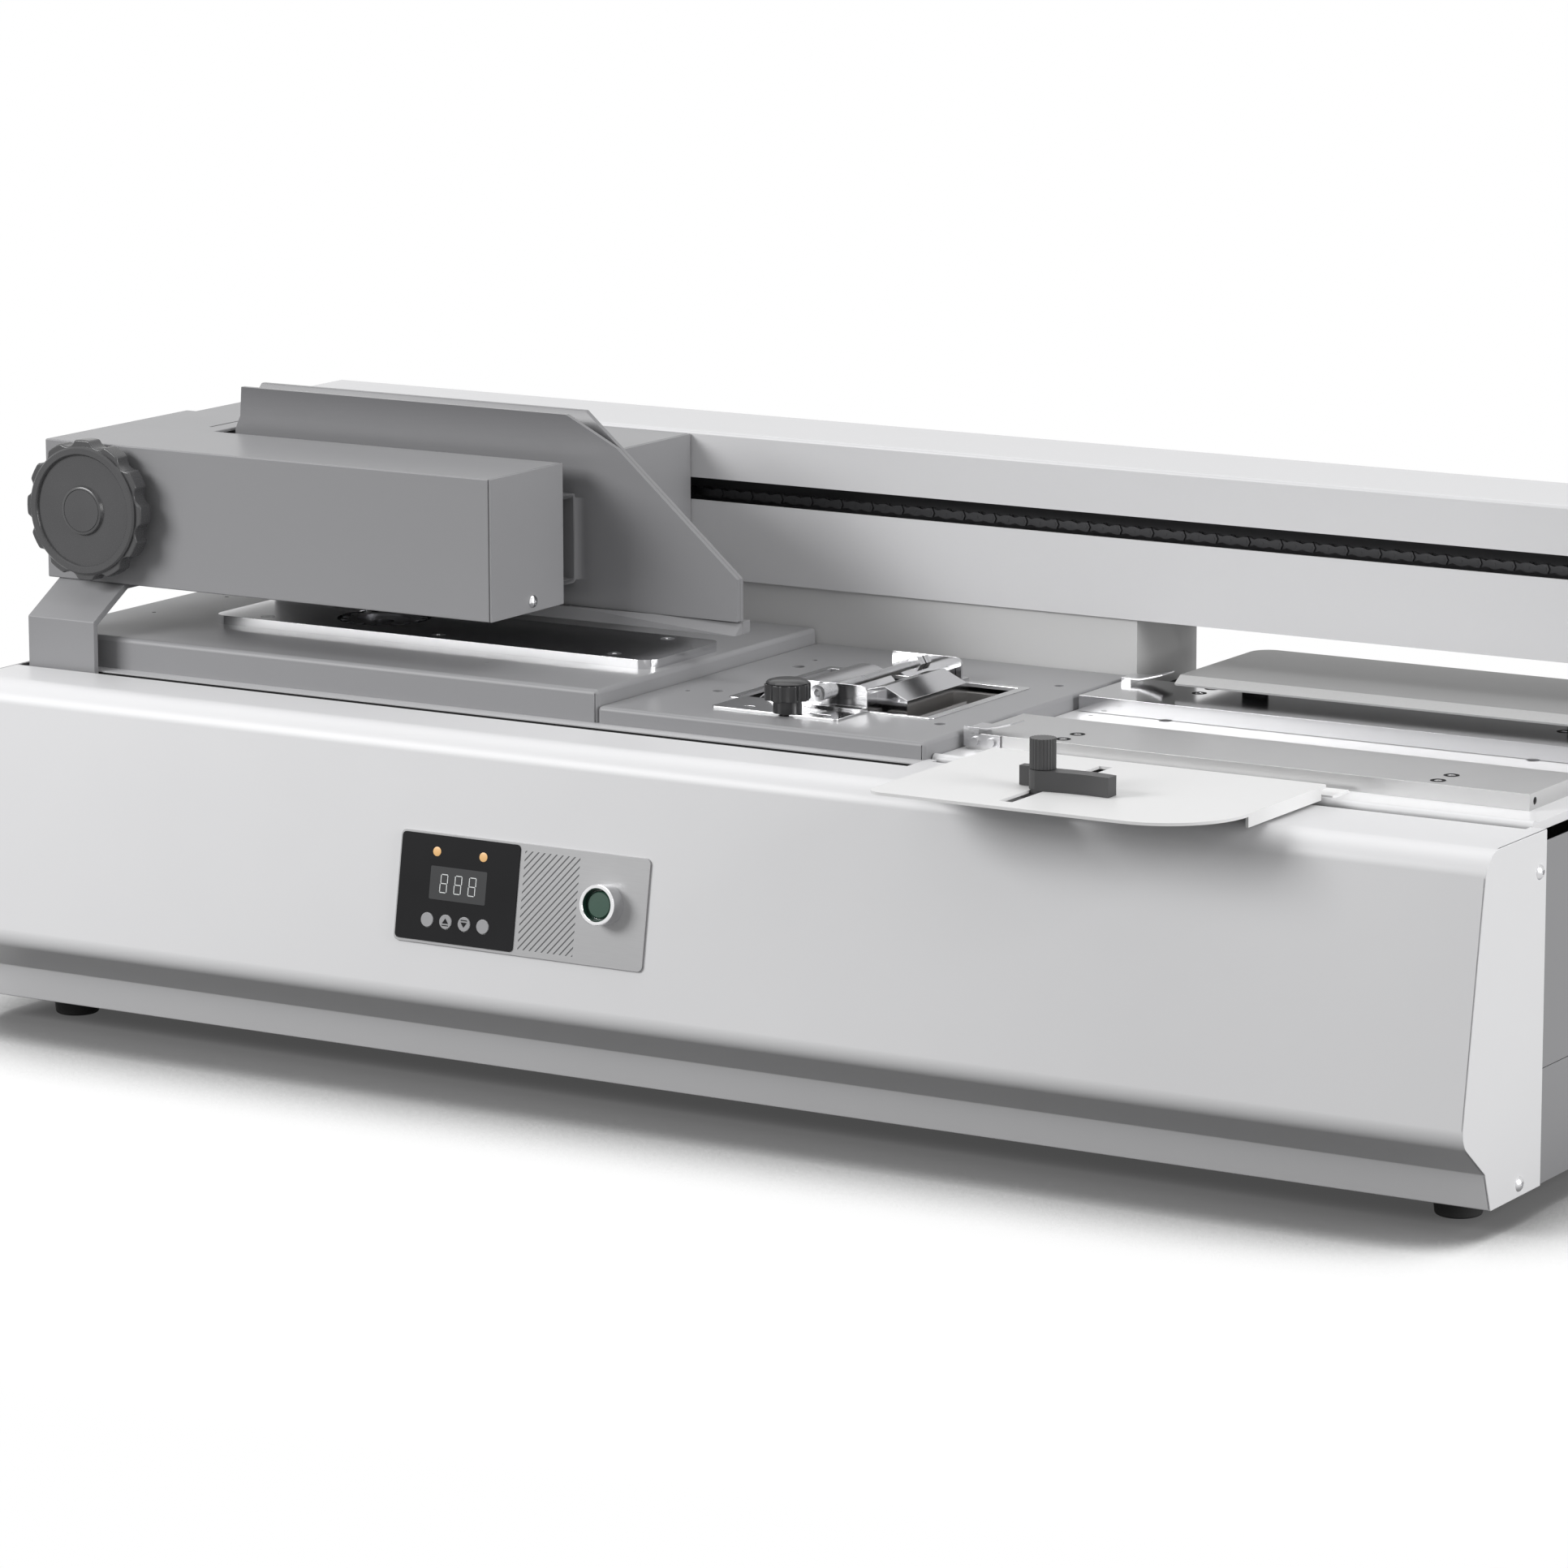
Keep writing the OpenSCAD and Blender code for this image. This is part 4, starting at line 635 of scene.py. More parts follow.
def skin(node, width=0.4, segments=2, slot=None, angle=30):
    """A finished copy of a CAD solid: its flats made whole, its edges rounded by a width in millimetres."""
    mesh = NODES[node].data.copy()
    mesh.transform(NODES[node].matrix_world)
    obj = bpy.data.objects.new(node + "_skin", mesh)
    bpy.context.scene.collection.objects.link(obj)
    hold(obj)
    bpy.ops.mesh.customdata_custom_splitnormals_clear()
    bpy.ops.object.mode_set(mode="EDIT")
    bpy.ops.mesh.select_all(action="SELECT")
    bpy.ops.mesh.remove_doubles(threshold=0.00001)
    bpy.ops.mesh.dissolve_limited(angle_limit=math.radians(0.7))
    bpy.ops.mesh.select_all(action="SELECT")
    bpy.ops.mesh.normals_make_consistent(inside=False)
    bpy.ops.object.mode_set(mode="OBJECT")
    refit(node, mesh)
    if width:
        bevel(obj, width * MM, segments, angle)
    smooth(obj, 32)
    return dress(obj, slot or SLOT_OF[node], BODY_OF[node], node, record_slot=SLOT_OF[node])


def repeat(name, obj, places):
    """Copies a piece, with its own mesh, to each offset in millimetres, and joins the copies."""
    copies = []
    for x, y, z in places:
        other = obj.copy()
        other.data = obj.data.copy()
        bpy.context.scene.collection.objects.link(other)
        other.location = Vector((x, y, z)) * MM
        copies.append(settle(other))
    bpy.data.objects.remove(obj)
    return join(name, *copies)


def lobes(radius, count, bite, reach, n=10):
    """A lobed outline: scallops of radius bite, centred reach outside the rim, cut between the lobes."""
    out = []
    for i in range(count * n):
        a = math.tau * i / (count * n)
        off = (a * count / math.tau) % 1.0 - 0.5
        b = off * math.tau / count
        c = radius + reach
        inside = bite ** 2 - (c * math.sin(b)) ** 2
        r = radius if inside <= 0 else min(radius, c * math.cos(b) - math.sqrt(inside))
        out.append((r * math.cos(a), r * math.sin(a)))
    return out


# ---------------------------------------------------------------- operators


class BINDER_OT_finishes(bpy.types.Operator):
    """Make the materials and paint every CAD node"""
    bl_idname = "binder.finishes"
    bl_label = "Materials"

    def execute(self, context):
        MATERIALS.update(make_materials(context.scene.binder_finish))
        for name, obj in NODES.items():
            paint(obj, SLOT_OF[name])
        return {"FINISHED"}


class BINDER_OT_cover(bpy.types.Operator):
    """Model the front cover: one folded sheet and its two end caps"""
    bl_idname = "binder.cover"
    bl_label = "Front cover"

    def execute(self, context):
        n = context.scene.binder_sizes.cover_bend
        path = [COVER[0]]
        for i in range(1, len(COVER) - 1):
            path += corner(COVER[i - 1], COVER[i], COVER[i + 1], COVER_RADII[i], n if i < 3 else 5)
        path.append(COVER[-1])
        fresh()
        bpy.ops.mesh.primitive_circle_add(vertices=len(path), radius=1, fill_type="NOTHING")
        sheet = named("cover_skin")
        for v, (y, z) in zip(sheet.data.vertices, path):
            v.co = in_frame(0.6 - HALF, y, z)
        hold(sheet)
        for e in sheet.data.edges:
            e.select = set(e.vertices) == {0, len(path) - 1}
        for v in sheet.data.vertices:
            v.select = False
        bpy.ops.object.mode_set(mode="EDIT")
        bpy.ops.mesh.select_mode(type="EDGE")
        bpy.ops.mesh.delete(type="EDGE")
        bpy.ops.mesh.select_all(action="SELECT")
        bpy.ops.mesh.extrude_region_move(TRANSFORM_OT_translate={"value": (2 * (HALF - 0.6) * MM, 0, 0)})
        bpy.ops.object.mode_set(mode="OBJECT")
        thicken(sheet)
        front, right = LEG_SLOT
        gap_left, gap_right, depth = LIP_GAP
        cut(sheet, block("leg_slot", (SHEET - HALF, front, TOP - 4), (right, BACK + 6, TOP + 4)),
            block("lip_gap", (gap_left, BACK - depth, TOP - 4), (gap_right, BACK + 6, TOP + 4)))
        # the keys and the start button sink through the sheet
        for x in KEY_X:
            cut(sheet, on_face_rod(5.6, x, KEY_Z, -6, 3))
        cut(sheet, on_face_rod(9.7, START[0], START[1], -6, 3))
        smooth(sheet, 30)
        dress(sheet, "white_sheet", "base", "front_cover")
        ring = rounded([(BACK, FOOT), *COVER[:5]], [0, *COVER_RADII[:4], 1], 12)
        for side, x in (("left", -HALF), ("right", HALF - SHEET)):
            cap = plate(f"cover_cap_{side}", ring, "x", x, x + SHEET, 0.0006, 2)
            dress(cap, "white_sheet", "base", "front_cover")
        return {"FINISHED"}


def top_hole(x, y, d, rise=30, steps=24):
    """A cutter for a round hole, rising from the deck through a station box's top."""
    return rod("hole", d / 2, (x, y, TOP), (0, 0, 1), rise, steps=steps)


def seam(low, high, lip):
    """A cutter for the open seam at the right end of a station box's front."""
    return block("seam", (high[0] - 2.7, low[1] - 1, TOP - 1), (high[0] - 2.1, low[1] + 1, high[2] - lip))


def lipped_box(name, low, high, bend):
    """A carriage box whose right end is a plate, with an open seam round it over a set-back core."""
    def inset(left, by, right):
        return (high[0] - left, low[1] + by, low[2] + by), (high[0] - right, high[1] - by, high[2] - by)

    box = block(name, low, (high[0] - 1.9, high[1], high[2]), bend, 3)
    end = block("end_plate", *inset(1.5, 0.2, 0), 0.0005, 2)
    return join(name, box, end, block("core", *inset(3, 1.2, 1)))


class BINDER_OT_boxes(bpy.types.Operator):
    """Model the station boxes, the gantry and the carriage's boxes as folded sheet"""
    bl_idname = "binder.boxes"
    bl_label = "Sheet boxes"

    def execute(self, context):
        bend = context.scene.binder_sizes.bend
        self.stations()
        low, high = span("gantry_cover")
        slot = block("slot", (-SLOT_X, low[1] - 8, SLOT_Z[0]), (SLOT_X, low[1] + 6, SLOT_Z[1]))
        box = sheet_box("gantry_cover_skin", low, high, (0, 0, -1), 0.0026, [slot])
        dress(box, "gantry_sheet", "base", "gantry_cover", record_slot="white_sheet")
        low, high = span("front_box")
        box = lipped_box("front_box_skin", low, high, bend)
        cut(box, rod("hole", 9, (WHEEL[0], low[1] - 1, WHEEL[1]), (0, 1, 0), 12, steps=40))
        dress(smooth(box, 40), "grey_sheet", "carriage", "front_box")
        self.arm(bend)
        self.hood(bend)
        return {"FINISHED"}

    def stations(self):
        low, high = span("milling_box")
        cutters = [top_hole(*CUTTER, 68, 60, 64)]
        cutters += [top_hole(x, y, 3.2, 60, 16) for x, y in MILL_HOLES]
        cutters.append(seam(low, high, 2.6))
        box = sheet_box("milling_box_skin", low, high, (0, 0, -1), 0.0034, cutters)
        dress(box, "grey_sheet", "base", "milling_box")
        low, high = span("glue_box")
        x0, x1, y0, y1 = MOUTH
        cutters = [block("mouth", (x0, y0, TOP), (x1, y1, TOP + 30))]
        cutters += [top_hole(x0 + x, y0 + y, d) for x, y, d in MOUTH_HOLES]
        cutters += [top_hole(*KNOB, 12), seam(low, high, 2.2)]
        box = sheet_box("glue_box_skin", low, high, (0, 0, -1), 0.0028, cutters)
        dress(box, "grey_sheet", "base", "glue_box")

    def arm(self, bend):
        low, high = span("carriage_arm")
        front, rear = low[1] - 1.9, high[1] + 1.9
        box = block("carriage_arm_skin", (low[0], front, low[2]), (high[0], rear, high[2]), bend, 3)
        inside = block("inside", (low[0] + SHEET, low[1] + 0.2, low[2] + SHEET),
                       (high[0] + 3, high[1] - 0.2, high[2] - SHEET))
        slit = block("slit", (WHEEL[0] + 17, 194, high[2] - 4), (WHEEL[0] + 19, 236, high[2] + 2))
        cut(box, inside, slit)
        dress(smooth(box, 40), "grey_sheet", "carriage", "carriage_arm")

    def hood(self, bend):
        low, high = span("rear_hood")
        low[1] = 255
        box = lipped_box("rear_hood_skin", low, high, bend)
        cut(box, *[rod("hole", 15.2, (x, low[1] - 1, GUIDE_Z), (0, 1, 0), 4, steps=40) for x in GUIDES])
        dress(smooth(box, 40), "grey_sheet", "carriage", "rear_hood")
        ring = [(8.2, 0), (8.2, 12), (15, 12), (15, 1), (14, 0)]
        bushes = [turned("bush", ring, (0, 1, 0), (x, low[1] - 0.8, GUIDE_Z)) for x in GUIDES]
        dress(join("hood_bushes", *bushes), "bush_alloy", "carriage", "rear_hood", record_slot="grey_sheet")


class BINDER_OT_skins(bpy.types.Operator):
    """Finish the plates, frames and moving parts: every sharp edge gets its own small round"""
    bl_idname = "binder.skins"
    bl_label = "Plates and frames"

    def execute(self, context):
        for node, width in SKINS.items():
            skin(node, width, slot=FINISH_OF.get(node))
        return {"FINISHED"}


SKINS = {
    "base_pan": 0.6, "side_panels": 0.5, "rear_panel": 0.3, "top_deck": 0.3, "rubber_feet": 0.7,
    "levelling_plate": 0.9, "milling_cutter": 0.15, "milling_motor": 0.5, "glue_plate": 0.2,
    "glue_tank": 0.5, "glue_roller": 0.7, "scraper_box": 0.35, "roller_cheeks": 0.5, "adjuster_rod": 0.3,
    "gantry_stand": 0.5, "gantry_beam": 0.4, "drive_sprocket": 0.2, "idler_sprocket": 0.2, "drive_motor": 0.8,
    "front_clamp_plate": 0.5, "rear_clamp_plate": 0.5, "carriage_leg": 0.8, "rail_block": 0.5,
    "clamp_guides": 0.6, "clamp_nut": 0.6, "clamp_spindle": 0.5, "nip_tray": 0.3, "front_nip_plate": 0.35,
    "rear_nip_plate": 0.35, "front_clip": 0.12, "rear_clip": 0.12, "feed_table": 0.35, "side_guide": 0.5,
    "guide_knob": 0.25, "rear_feed_sheet": 0.3, "lift_rods": 0.5, "lift_bushes": 0.5, "lift_actuator": 0.8,
    "control_panel": 0.25, "power_inlet": 0.3, "key_1": 0.45, "key_2": 0.45, "key_3": 0.45, "key_4": 0.45,
    "screws": 0.2,
}
# the finishes that differ from those of the part's own record
FINISH_OF = {
    "top_deck": "deck_sheet", "side_guide": "matt_plastic", "guide_knob": "matt_plastic",
    "feed_table": "table_sheet", "rear_feed_sheet": "satin_sheet", "gantry_stand": "stand_sheet",
    "front_nip_plate": "nip_steel", "rear_nip_plate": "nip_plate",
    "base_pan": "clamp_paint", "side_panels": "clamp_paint", "rear_panel": "clamp_paint",
}


class BINDER_OT_wheel(bpy.types.Operator):
    """Model the lobed handwheel and the glue station's lobed knob"""
    bl_idname = "binder.wheel"
    bl_label = "Handwheel and knob"

    def execute(self, context):
        x, z = WHEEL
        rim = [(x + a, z + b) for a, b in lobes(51, 12, 7.5, 3.6, 12)]
        body = plate("wheel_lobes", rim, "y", 64.0, 77.4, 0.0014, 3, 50)
        cut(body, rod("relief", 42, (x, 71.5, z), (0, 1, 0), 12, steps=72))
        face = turned("wheel_face", [
            (0, 10), (43, 10), (44.6, 4.4), (46.3, 2.6), (46.3, 1.2), (45.1, 0.1), (41.2, 0.1), (40.2, 1.0),
            (39.7, 3.1), (38.9, 3.5), (19.2, 3.5), (18.4, 2.9), (17.2, 0.5), (16.4, 0.1), (15.6, 0.1),
            (15.3, 0.5), (15.0, 0.1), (0, 0.1)], (0, 1, 0), (x, 61.4, z), 96)
        hub = rod("wheel_hub", 17, (x, 70, z), (0, 1, 0), 7.4, 1.0, 48)
        wheel = join("handwheel_finished", body, face, hub)
        dress(wheel, "wheel_plastic", BODY_OF["handwheel"], "handwheel", record_slot=SLOT_OF["handwheel"])
        x, y = KNOB
        z = GLUE_TOP + 1.8
        rim = [(x + a, y + b) for a, b in lobes(16, 8, 3.4, 1.0, 10)]
        head = plate("knob_lobes", rim, "z", z + 9, z + 20.5, 0.0006, 2, 50)
        dome = turned("knob_dome", [
            (0, 0), (14.6, 0), (14.9, 0.9), (13.6, 2.1), (10.5, 3.0), (6, 3.5), (0, 3.6)],
            (0, 0, 1), (x, y, z + 20.2), 64)
        stem = turned("knob_stem", [
            (0, -18), (4.9, -18), (4.9, 0), (9.9, 0), (9.9, 8.7), (9.2, 9.6), (0, 9.6)],
            (0, 0, 1), (x, y, z), 48)
        knob = join("glue_knob_finished", head, dome, stem)
        dress(knob, "black_plastic", BODY_OF["glue_knob"], "glue_knob", record_slot=SLOT_OF["glue_knob"])
        return {"FINISHED"}


class BINDER_OT_chain(bpy.types.Operator):
    """Model the roller chain, link by link, round both wheels"""
    bl_idname = "binder.chain"
    bl_label = "Chain"

    def execute(self, context):
        depth, top, half, r = CHAIN
        pitch = context.scene.binder_sizes.link_pitch / MM
        centre = top - r
        loop = 4 * half + math.tau * r
        count = 2 * round(loop / pitch / 2)
        step = loop / count

        def along(s):
            s %= loop
            if s < 2 * half:
                return -half + s, centre + r
            s -= 2 * half
            if s < math.pi * r:
                a = math.pi / 2 - s / r
                return half + r * math.cos(a), centre + r * math.sin(a)
            s -= math.pi * r
            if s < 2 * half:
                return half - s, centre - r
            a = -math.pi / 2 - (s - 2 * half) / r
            return -half + r * math.cos(a), centre + r * math.sin(a)

        parts = [self.link(pitch / 2 - 0.05, outer) for outer in (False, True)]
        links = []
        for i in range(count):
            ax, az = along(i * step)
            bx, bz = along((i + 1) * step)
            other = parts[i % 2].copy()
            other.data = other.data.copy()
            turn = Matrix.Rotation(-math.atan2(bz - az, bx - ax), 4, "Y")
            place = Matrix.Translation(in_frame((ax + bx) / 2, depth, (az + bz) / 2))
            other.data.transform(place @ turn @ Matrix.Translation(-in_frame(0, 0, 0)))
            bpy.context.scene.collection.objects.link(other)
            links.append(other)
        for obj in parts:
            bpy.data.objects.remove(obj)
        dress(join("roller_chain", *links), "chain_steel", "base", "drive_chain")
        return {"FINISHED"}

    def link(self, half, outer):
        """One link, drawn about the middle: two waisted plates with their pins or rollers."""
        waist = [(-half - 3.4, 0), (-half - 1.9, 3.3), (-half + 1.7, 3.3),
                 (0, 2.0), (half - 1.7, 3.3), (half + 1.9, 3.3)]
        outline = waist + [(half + 3.4, 0)] + [(-a, -b) for a, b in waist[1:]]
        depths = ((0.2, 1.1), (4.9, 5.8)) if outer else ((1.2, 2.0), (4.0, 4.8))
        pieces = [plate("link_plate", outline, "y", y0, y1) for y0, y1 in depths]
        radius, start, length = (1.5, 0.05, 5.9) if outer else (3.4, 2.0, 2.0)
        for x in (-half, half):
            pieces.append(rod("pin", radius, (x, start, 0), (0, 1, 0), length, steps=8))
        return join("link", *pieces)


class BINDER_OT_marks(bpy.types.Operator):
    """Model the display, the lamps, the start button, the keys' signs and the small screws"""
    bl_idname = "binder.marks"
    bl_label = "Display and screws"

    def execute(self, context):
        self.display()
        lens = [(0, 0), (3.2, 0), (3.2, 0.25), (2.5, 0.42), (0, 0.5)]
        lamps = [on_face_turned(lens, x, LAMP_Z, 2.3) for x in LAMP_X]
        dress(join("lamp_lenses", *lamps), "amber_lamp", "base", "indicator_lamps")
        self.start_button()
        for i, way in ((1, 1), (2, -1)):
            self.key_sign(i, way)
        self.screws()
        return {"FINISHED"}

    def display(self):
        bars = [bar for digit in (-1, 0, 1) for bar in self.figure(digit * FIGURE_STEP)]
        dress(join("display_figures", *bars), "figure_white", "base", record_slot=SLOT_OF["key_1"])
        pane = rounded([(-23, -11.4), (23, -11.4), (23, 11.4), (-23, 11.4)], [1] * 4, 4)
        glass = flat_on_face("display_window", pane, DISPLAY_X, WINDOW_Z, 2.32, 0.08)
        dress(glass, "window_film", "base", record_slot=SLOT_OF["display_bezel"])
        left = PANEL_X - PANEL_HALF - DISPLAY_X + 1.5
        right, low, high = left + 96.5, -37.1, 36
        ring = rounded([(left, low), (right, low), (right, high), (left, high)], [3] * 4, 6)
        film = flat_on_face("display_film", ring, DISPLAY_X, PANEL_Z, 1.56, 0.76)
        cut(film, *[on_face_rod(5.35, x, KEY_Z, -2, 8) for x in KEY_X])
        dress(smooth(film), "display_black", "base", "display_bezel")

    def figure(self, middle):
        """The seven bars of one figure in the display's window."""
        w, h, tip = 2.2, 0.3, 0.3
        flat = [(-w - tip, 0), (-w, -h), (w, -h), (w + tip, 0), (w, h), (-w, h)]
        h, w = 2.6, 0.3
        tall = [(0, -h - tip), (w, -h), (w, h), (0, h + tip), (-w, h), (-w, -h)]
        places = [(0, y, flat) for y in (6.2, 0, -6.2)]
        places += [(x, y, tall) for y in (3.1, -3.1) for x in (-2.7, 2.7)]
        bars = []
        for x, y, shape in places:
            leaning = middle + x + y * 0.07
            outline = [(leaning + a, y + b) for a, b in shape]
            bars.append(flat_on_face("figure", outline, DISPLAY_X, WINDOW_Z, 2.42, 0.08))
        return bars

    def start_button(self):
        x, z = START
        ring = on_face_turned([
            (11.2, 7.5), (11.2, 12.6), (11.5, 13.0), (13.4, 13.0), (13.9, 12.4), (13.9, 0),
            (9.7, 0), (9.7, 7.5)], x, z, 1.56, 64)
        dress(ring, "bezel_chrome", "base", "start_bezel")
        well = on_face_turned([
            (9.75, 7.6), (11.15, 7.6), (11.15, 12.3), (10.9, 12.3), (10.8, 7.9), (9.75, 7.9)], x, z, 1.56, 64)
        dress(well, "dark_green", "base", record_slot=SLOT_OF["start_button"])
        cap = on_face_turned([(0, -12), (9.3, -12), (9.3, 10.2), (8.4, 11.0), (0, 11.2)], x, z, 0, 64)
        dress(cap, "green_button", BODY_OF["start_button"], "start_button")

    def key_sign(self, i, way):
        """A plain triangle over a bar, pointing up or down."""
        tip = [(-2.6, -1.2 * way), (2.6, -1.2 * way), (0, 2.4 * way)]
        bar = [(-2.6, -2.2 * way), (2.6, -2.2 * way), (2.6, -2.9 * way), (-2.6, -2.9 * way)]
        signs = []
        for shape in (tip, bar):
            signs.append(flat_on_face("sign", shape[::way], KEY_X[i], KEY_Z, 3.1, 0.08))
        sign = join(f"key_sign_{i + 1}", *signs)
        dress(sign, "display_black", BODY_OF[KEY_NODES[i]], record_slot=SLOT_OF["display_bezel"])

    def screws(self):
        head = [(0, -1.6), (2.3, -1.6), (2.3, -0.1), (4.7, -0.1), (5.3, 0.06), (5.0, 0.12), (2.9, 0.12),
                (2.2, -0.3), (1.9, -1.5), (0, -1.5)]
        for name, node, rows, z in (("front_nip_screws", "front_nip_plate", (127.5, 147.5), NIP_TOP),
                                    ("rear_nip_screws", "rear_nip_plate", (322.2, 341.7), NIP_TOP + 0.3)):
            screw = turned(name, head, (0, 0, 1), (0, 0, z), 36)
            row = repeat(name, screw, [(x, y, 0) for x in NIP_SCREW_X for y in rows])
            dress(row, "black_screw", BODY_OF[node], record_slot=SLOT_OF["milling_cutter"])
        screw = turned("box_screw", [
            (0, 0), (4.6, 0), (4.6, 0.8), (3.8, 2.0), (2.2, 2.7), (1.2, 2.8), (1.0, 1.8), (0, 1.8)],
            (1, 0, 0), BOX_SCREW, 32)
        dress(screw, "bezel_chrome", "carriage", record_slot=SLOT_OF["screws"])


def face_turn():
    return Matrix.Rotation(math.pi / 2 - math.atan(SLOPE), 4, "X")


def onto_face(obj, x, z):
    """Moves a piece drawn at the frame's origin onto the cover's leaning face."""
    y = -13 - (TOP - z) * SLOPE
    back = Matrix.Translation(-in_frame(0, 0, 0))
    obj.data.transform(Matrix.Translation(in_frame(x, y, z)) @ face_turn() @ back)
    return obj


def on_face_turned(profile, x, z, lift, steps=40):
    return onto_face(turned("turned", profile, (0, 0, 1), (0, 0, lift), steps), x, z)


def on_face_rod(radius, x, z, low, high):
    return onto_face(rod("hole", radius, (0, 0, low), (0, 0, 1), high - low, steps=40), x, z)


def flat_on_face(name, points, x, z, lift, t):
    """A thin flat shape on the cover's leaning face, drawn in the face's own millimetres."""
    obj = plate(name, points, "z", lift, lift + t)
    return onto_face(obj, x, z)


class BINDER_OT_stage(bpy.types.Operator):
    """Set the floor, the lights, the world and the camera"""
    bl_idname = "binder.stage"
    bl_label = "Stage"

    def execute(self, context):
        scene = context.scene
        fresh()
        bpy.ops.mesh.primitive_plane_add(size=24, location=(0, 0, 0))
        floor = named("floor")
        floor.data.materials.append(floor_material())
        world = bpy.data.worlds.new("studio")
        scene.world = world
        world.use_nodes = True
        tree = world.node_tree
        back = tree.nodes["Background"]
        rays = tree.nodes.new("ShaderNodeLightPath")
        seen = Wire(tree, rays.outputs["Is Camera Ray"]).most(Wire(tree, rays.outputs["Is Glossy Ray"]))
        seen = seen.most(Wire(tree, rays.outputs["Is Transmission Ray"]))
        level = seen * (1.0 - WORLD_FILL) + WORLD_FILL
        tree.links.new(level.socket, back.inputs["Strength"])
        back.inputs["Color"].default_value = (1, 1, 1, 1)
        for name, place, target, size, power in LAMPS:
            data = bpy.data.lights.new(name, "AREA")
            data.shape = "RECTANGLE"
            data.size, data.size_y = size
            data.energy = power
            lamp = bpy.data.objects.new(name, data)
            scene.collection.objects.link(lamp)
            lamp.location = place
            aim = Vector(target) - Vector(place)
            lamp.rotation_euler = aim.to_track_quat("-Z", "Y").to_euler()
        scene.camera = self.camera(scene)
        scene.view_settings.view_transform = "Standard"
        return {"FINISHED"}

    def camera(self, scene):
        az, el = VIEW_AZIMUTH, VIEW_ELEVATION
        right = Vector((math.cos(az), math.sin(az), 0))
        forward = Vector((-math.sin(az) * math.cos(el), math.cos(az) * math.cos(el), -math.sin(el)))
        up = right.cross(forward)
        side, rise, distance = VIEW_FROM_CORNER
        data = bpy.data.cameras.new("camera")
        data.sensor_width = 36
        data.sensor_fit = "HORIZONTAL"
        data.lens = VIEW_FOCAL_PX / PHOTO_PX * data.sensor_width
        data.shift_x = (PHOTO_PX / 2 - VIEW_CENTRE_PX[0]) / PHOTO_PX
        data.shift_y = (VIEW_CENTRE_PX[1] - PHOTO_PX / 2) / PHOTO_PX
        data.clip_end = 60
        camera = bpy.data.objects.new("camera", data)
        scene.collection.objects.link(camera)
        camera.location = in_frame(HALF, 0, FOOT) - right * side + up * rise - forward * distance
        camera.rotation_euler = (math.pi / 2 - el, 0, az)
        return camera


# the camera, measured from the lower right corner of the front cover, in metres and pixels
PHOTO_PX = 1932
VIEW_AZIMUTH, VIEW_ELEVATION = math.radians(30.774), math.radians(11.093)
VIEW_FROM_CORNER = (0.40173, 0.28199, 4.1857)
VIEW_FOCAL_PX, VIEW_CENTRE_PX = 8163.56, (1053.09, 942.72)
WORLD_FILL = 0.41
LAMPS = (
    ("top_light", (0.0, 0.3, 2.4), (0, 0, 0.2), (3.0, 1.6), 20),
    ("front_light", (-1.9, -2.5, 1.7), (0, 0, 0.2), (1.6, 1.2), 82),
    ("right_light", (3.0, -0.2, 1.1), (0.3, 0, 0.2), (1.6, 1.6), 56),
)


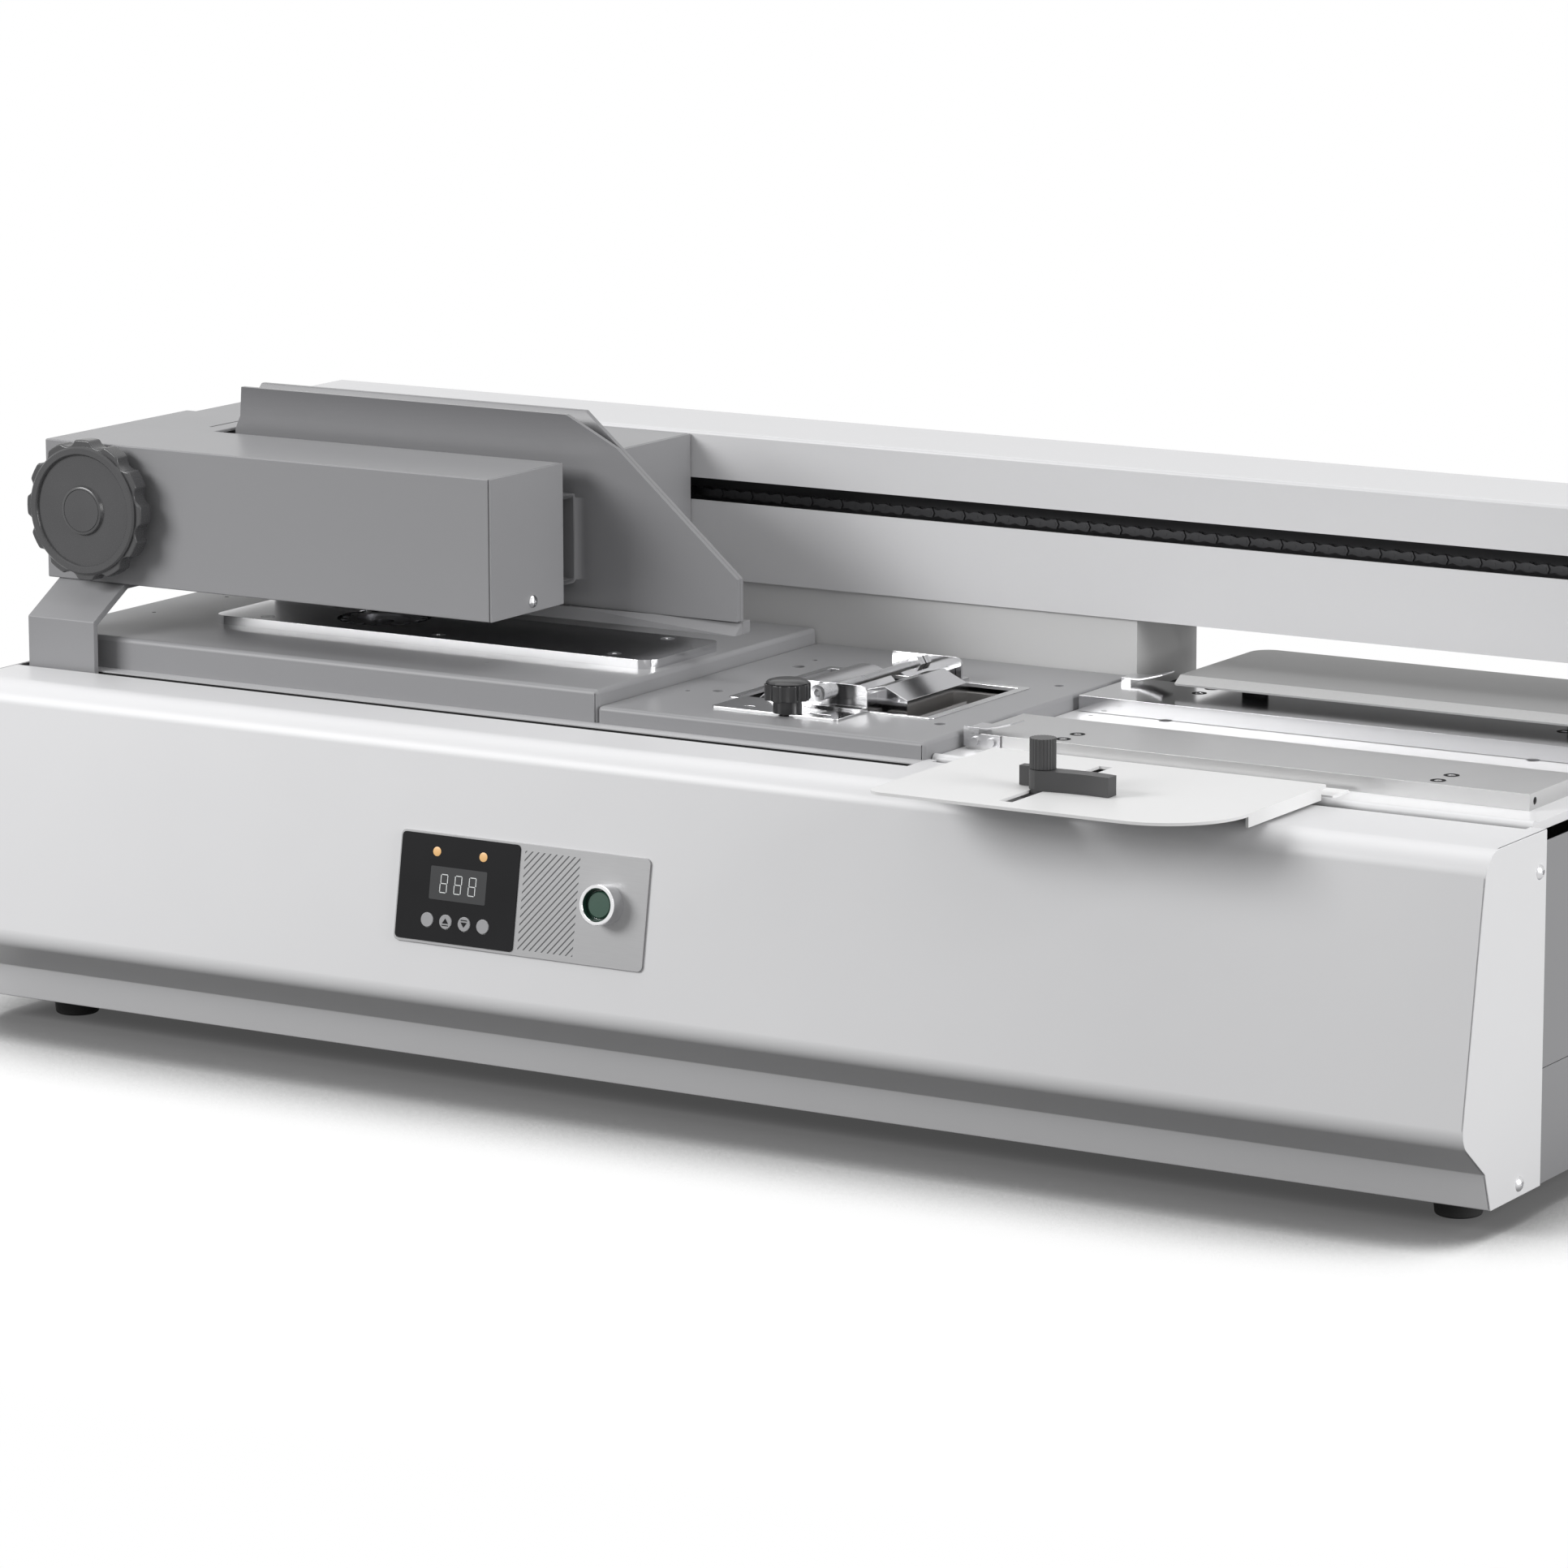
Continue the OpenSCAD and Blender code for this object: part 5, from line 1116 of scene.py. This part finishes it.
def floor_material():
    """A white floor that fades to the white background away from the object; near it the camera sees mostly a
    glow with a painted shadow from ambient occlusion, and a little of the lamps' real shadow.
    """
    f = Finish("floor", (0.9, 0.9, 0.9), 0.9, Specular_IOR_Level=0.0)
    rays = f.node("ShaderNodeLightPath")
    seen = f.out(rays, "Is Camera Ray").most(f.out(rays, "Is Glossy Ray"))
    seen = seen.most(f.out(rays, "Is Transmission Ray"))
    # other rays see a dark floor, so it bounces little light up under the cover
    f.set("Base Color", f.mix(seen, (0.12, 0.12, 0.12), (1.0, 1.0, 1.0)))
    # seen by the camera: mostly a plain white glow, with a painted shadow from ambient occlusion where the
    # object stands over the floor
    near = f.out(f.node("ShaderNodeAmbientOcclusion", {"samples": 12}, Distance=0.23), "AO")
    open_sky = ((near - 0.48) / 0.32).clamp()
    open_sky = open_sky * open_sky * (3.0 - open_sky * 2.0)
    x, y, _ = f.xyz()
    far = ((x * x * 0.7 + y * y * 2.2) - 0.9).clamp()
    # painted shadow: the glow's colour drops to dark grey where the ambient occlusion is low
    painted_shadow = f.mix(open_sky, (0.078, 0.078, 0.078), (1.0, 1.0, 1.0))
    glow = f.node("ShaderNodeEmission", None, Color=painted_shadow, Strength=1.0)
    blend = f.node("ShaderNodeMixShader")
    output = f.tree.nodes["Material Output"]
    f.tree.links.new((seen * (far * 0.15 + 0.85)).socket, blend.inputs[0])
    f.tree.links.new(f.shader.outputs[0], blend.inputs[1])
    f.tree.links.new(glow.outputs[0], blend.inputs[2])
    f.tree.links.new(blend.outputs[0], output.inputs["Surface"])
    return f.material


class BINDER_PT_panel(bpy.types.Panel):
    bl_label = "Binding machine"
    bl_space_type = "VIEW_3D"
    bl_region_type = "UI"
    bl_category = "Binder"

    def draw(self, context):
        layout = self.layout
        for group in (context.scene.binder_sizes, context.scene.binder_finish):
            for key in group.bl_rna.properties.keys():
                if key not in ("rna_type", "name"):
                    layout.prop(group, key)
        for op in STEPS:
            layout.operator(op.bl_idname)


STEPS = (BINDER_OT_finishes, BINDER_OT_cover, BINDER_OT_boxes, BINDER_OT_skins, BINDER_OT_wheel,
         BINDER_OT_chain, BINDER_OT_marks, BINDER_OT_stage)
CLASSES = (BinderSizes, BinderFinish, *STEPS, BINDER_PT_panel)


def register():
    for c in CLASSES:
        bpy.utils.register_class(c)
    bpy.types.Scene.binder_sizes = bpy.props.PointerProperty(type=BinderSizes)
    bpy.types.Scene.binder_finish = bpy.props.PointerProperty(type=BinderFinish)


def unregister():
    del bpy.types.Scene.binder_sizes
    del bpy.types.Scene.binder_finish
    for c in reversed(CLASSES):
        bpy.utils.unregister_class(c)


def main():
    register()
    for step in STEPS:
        group, name = step.bl_idname.split(".")
        getattr(getattr(bpy.ops, group), name)()


if __name__ == "__main__":
    main()
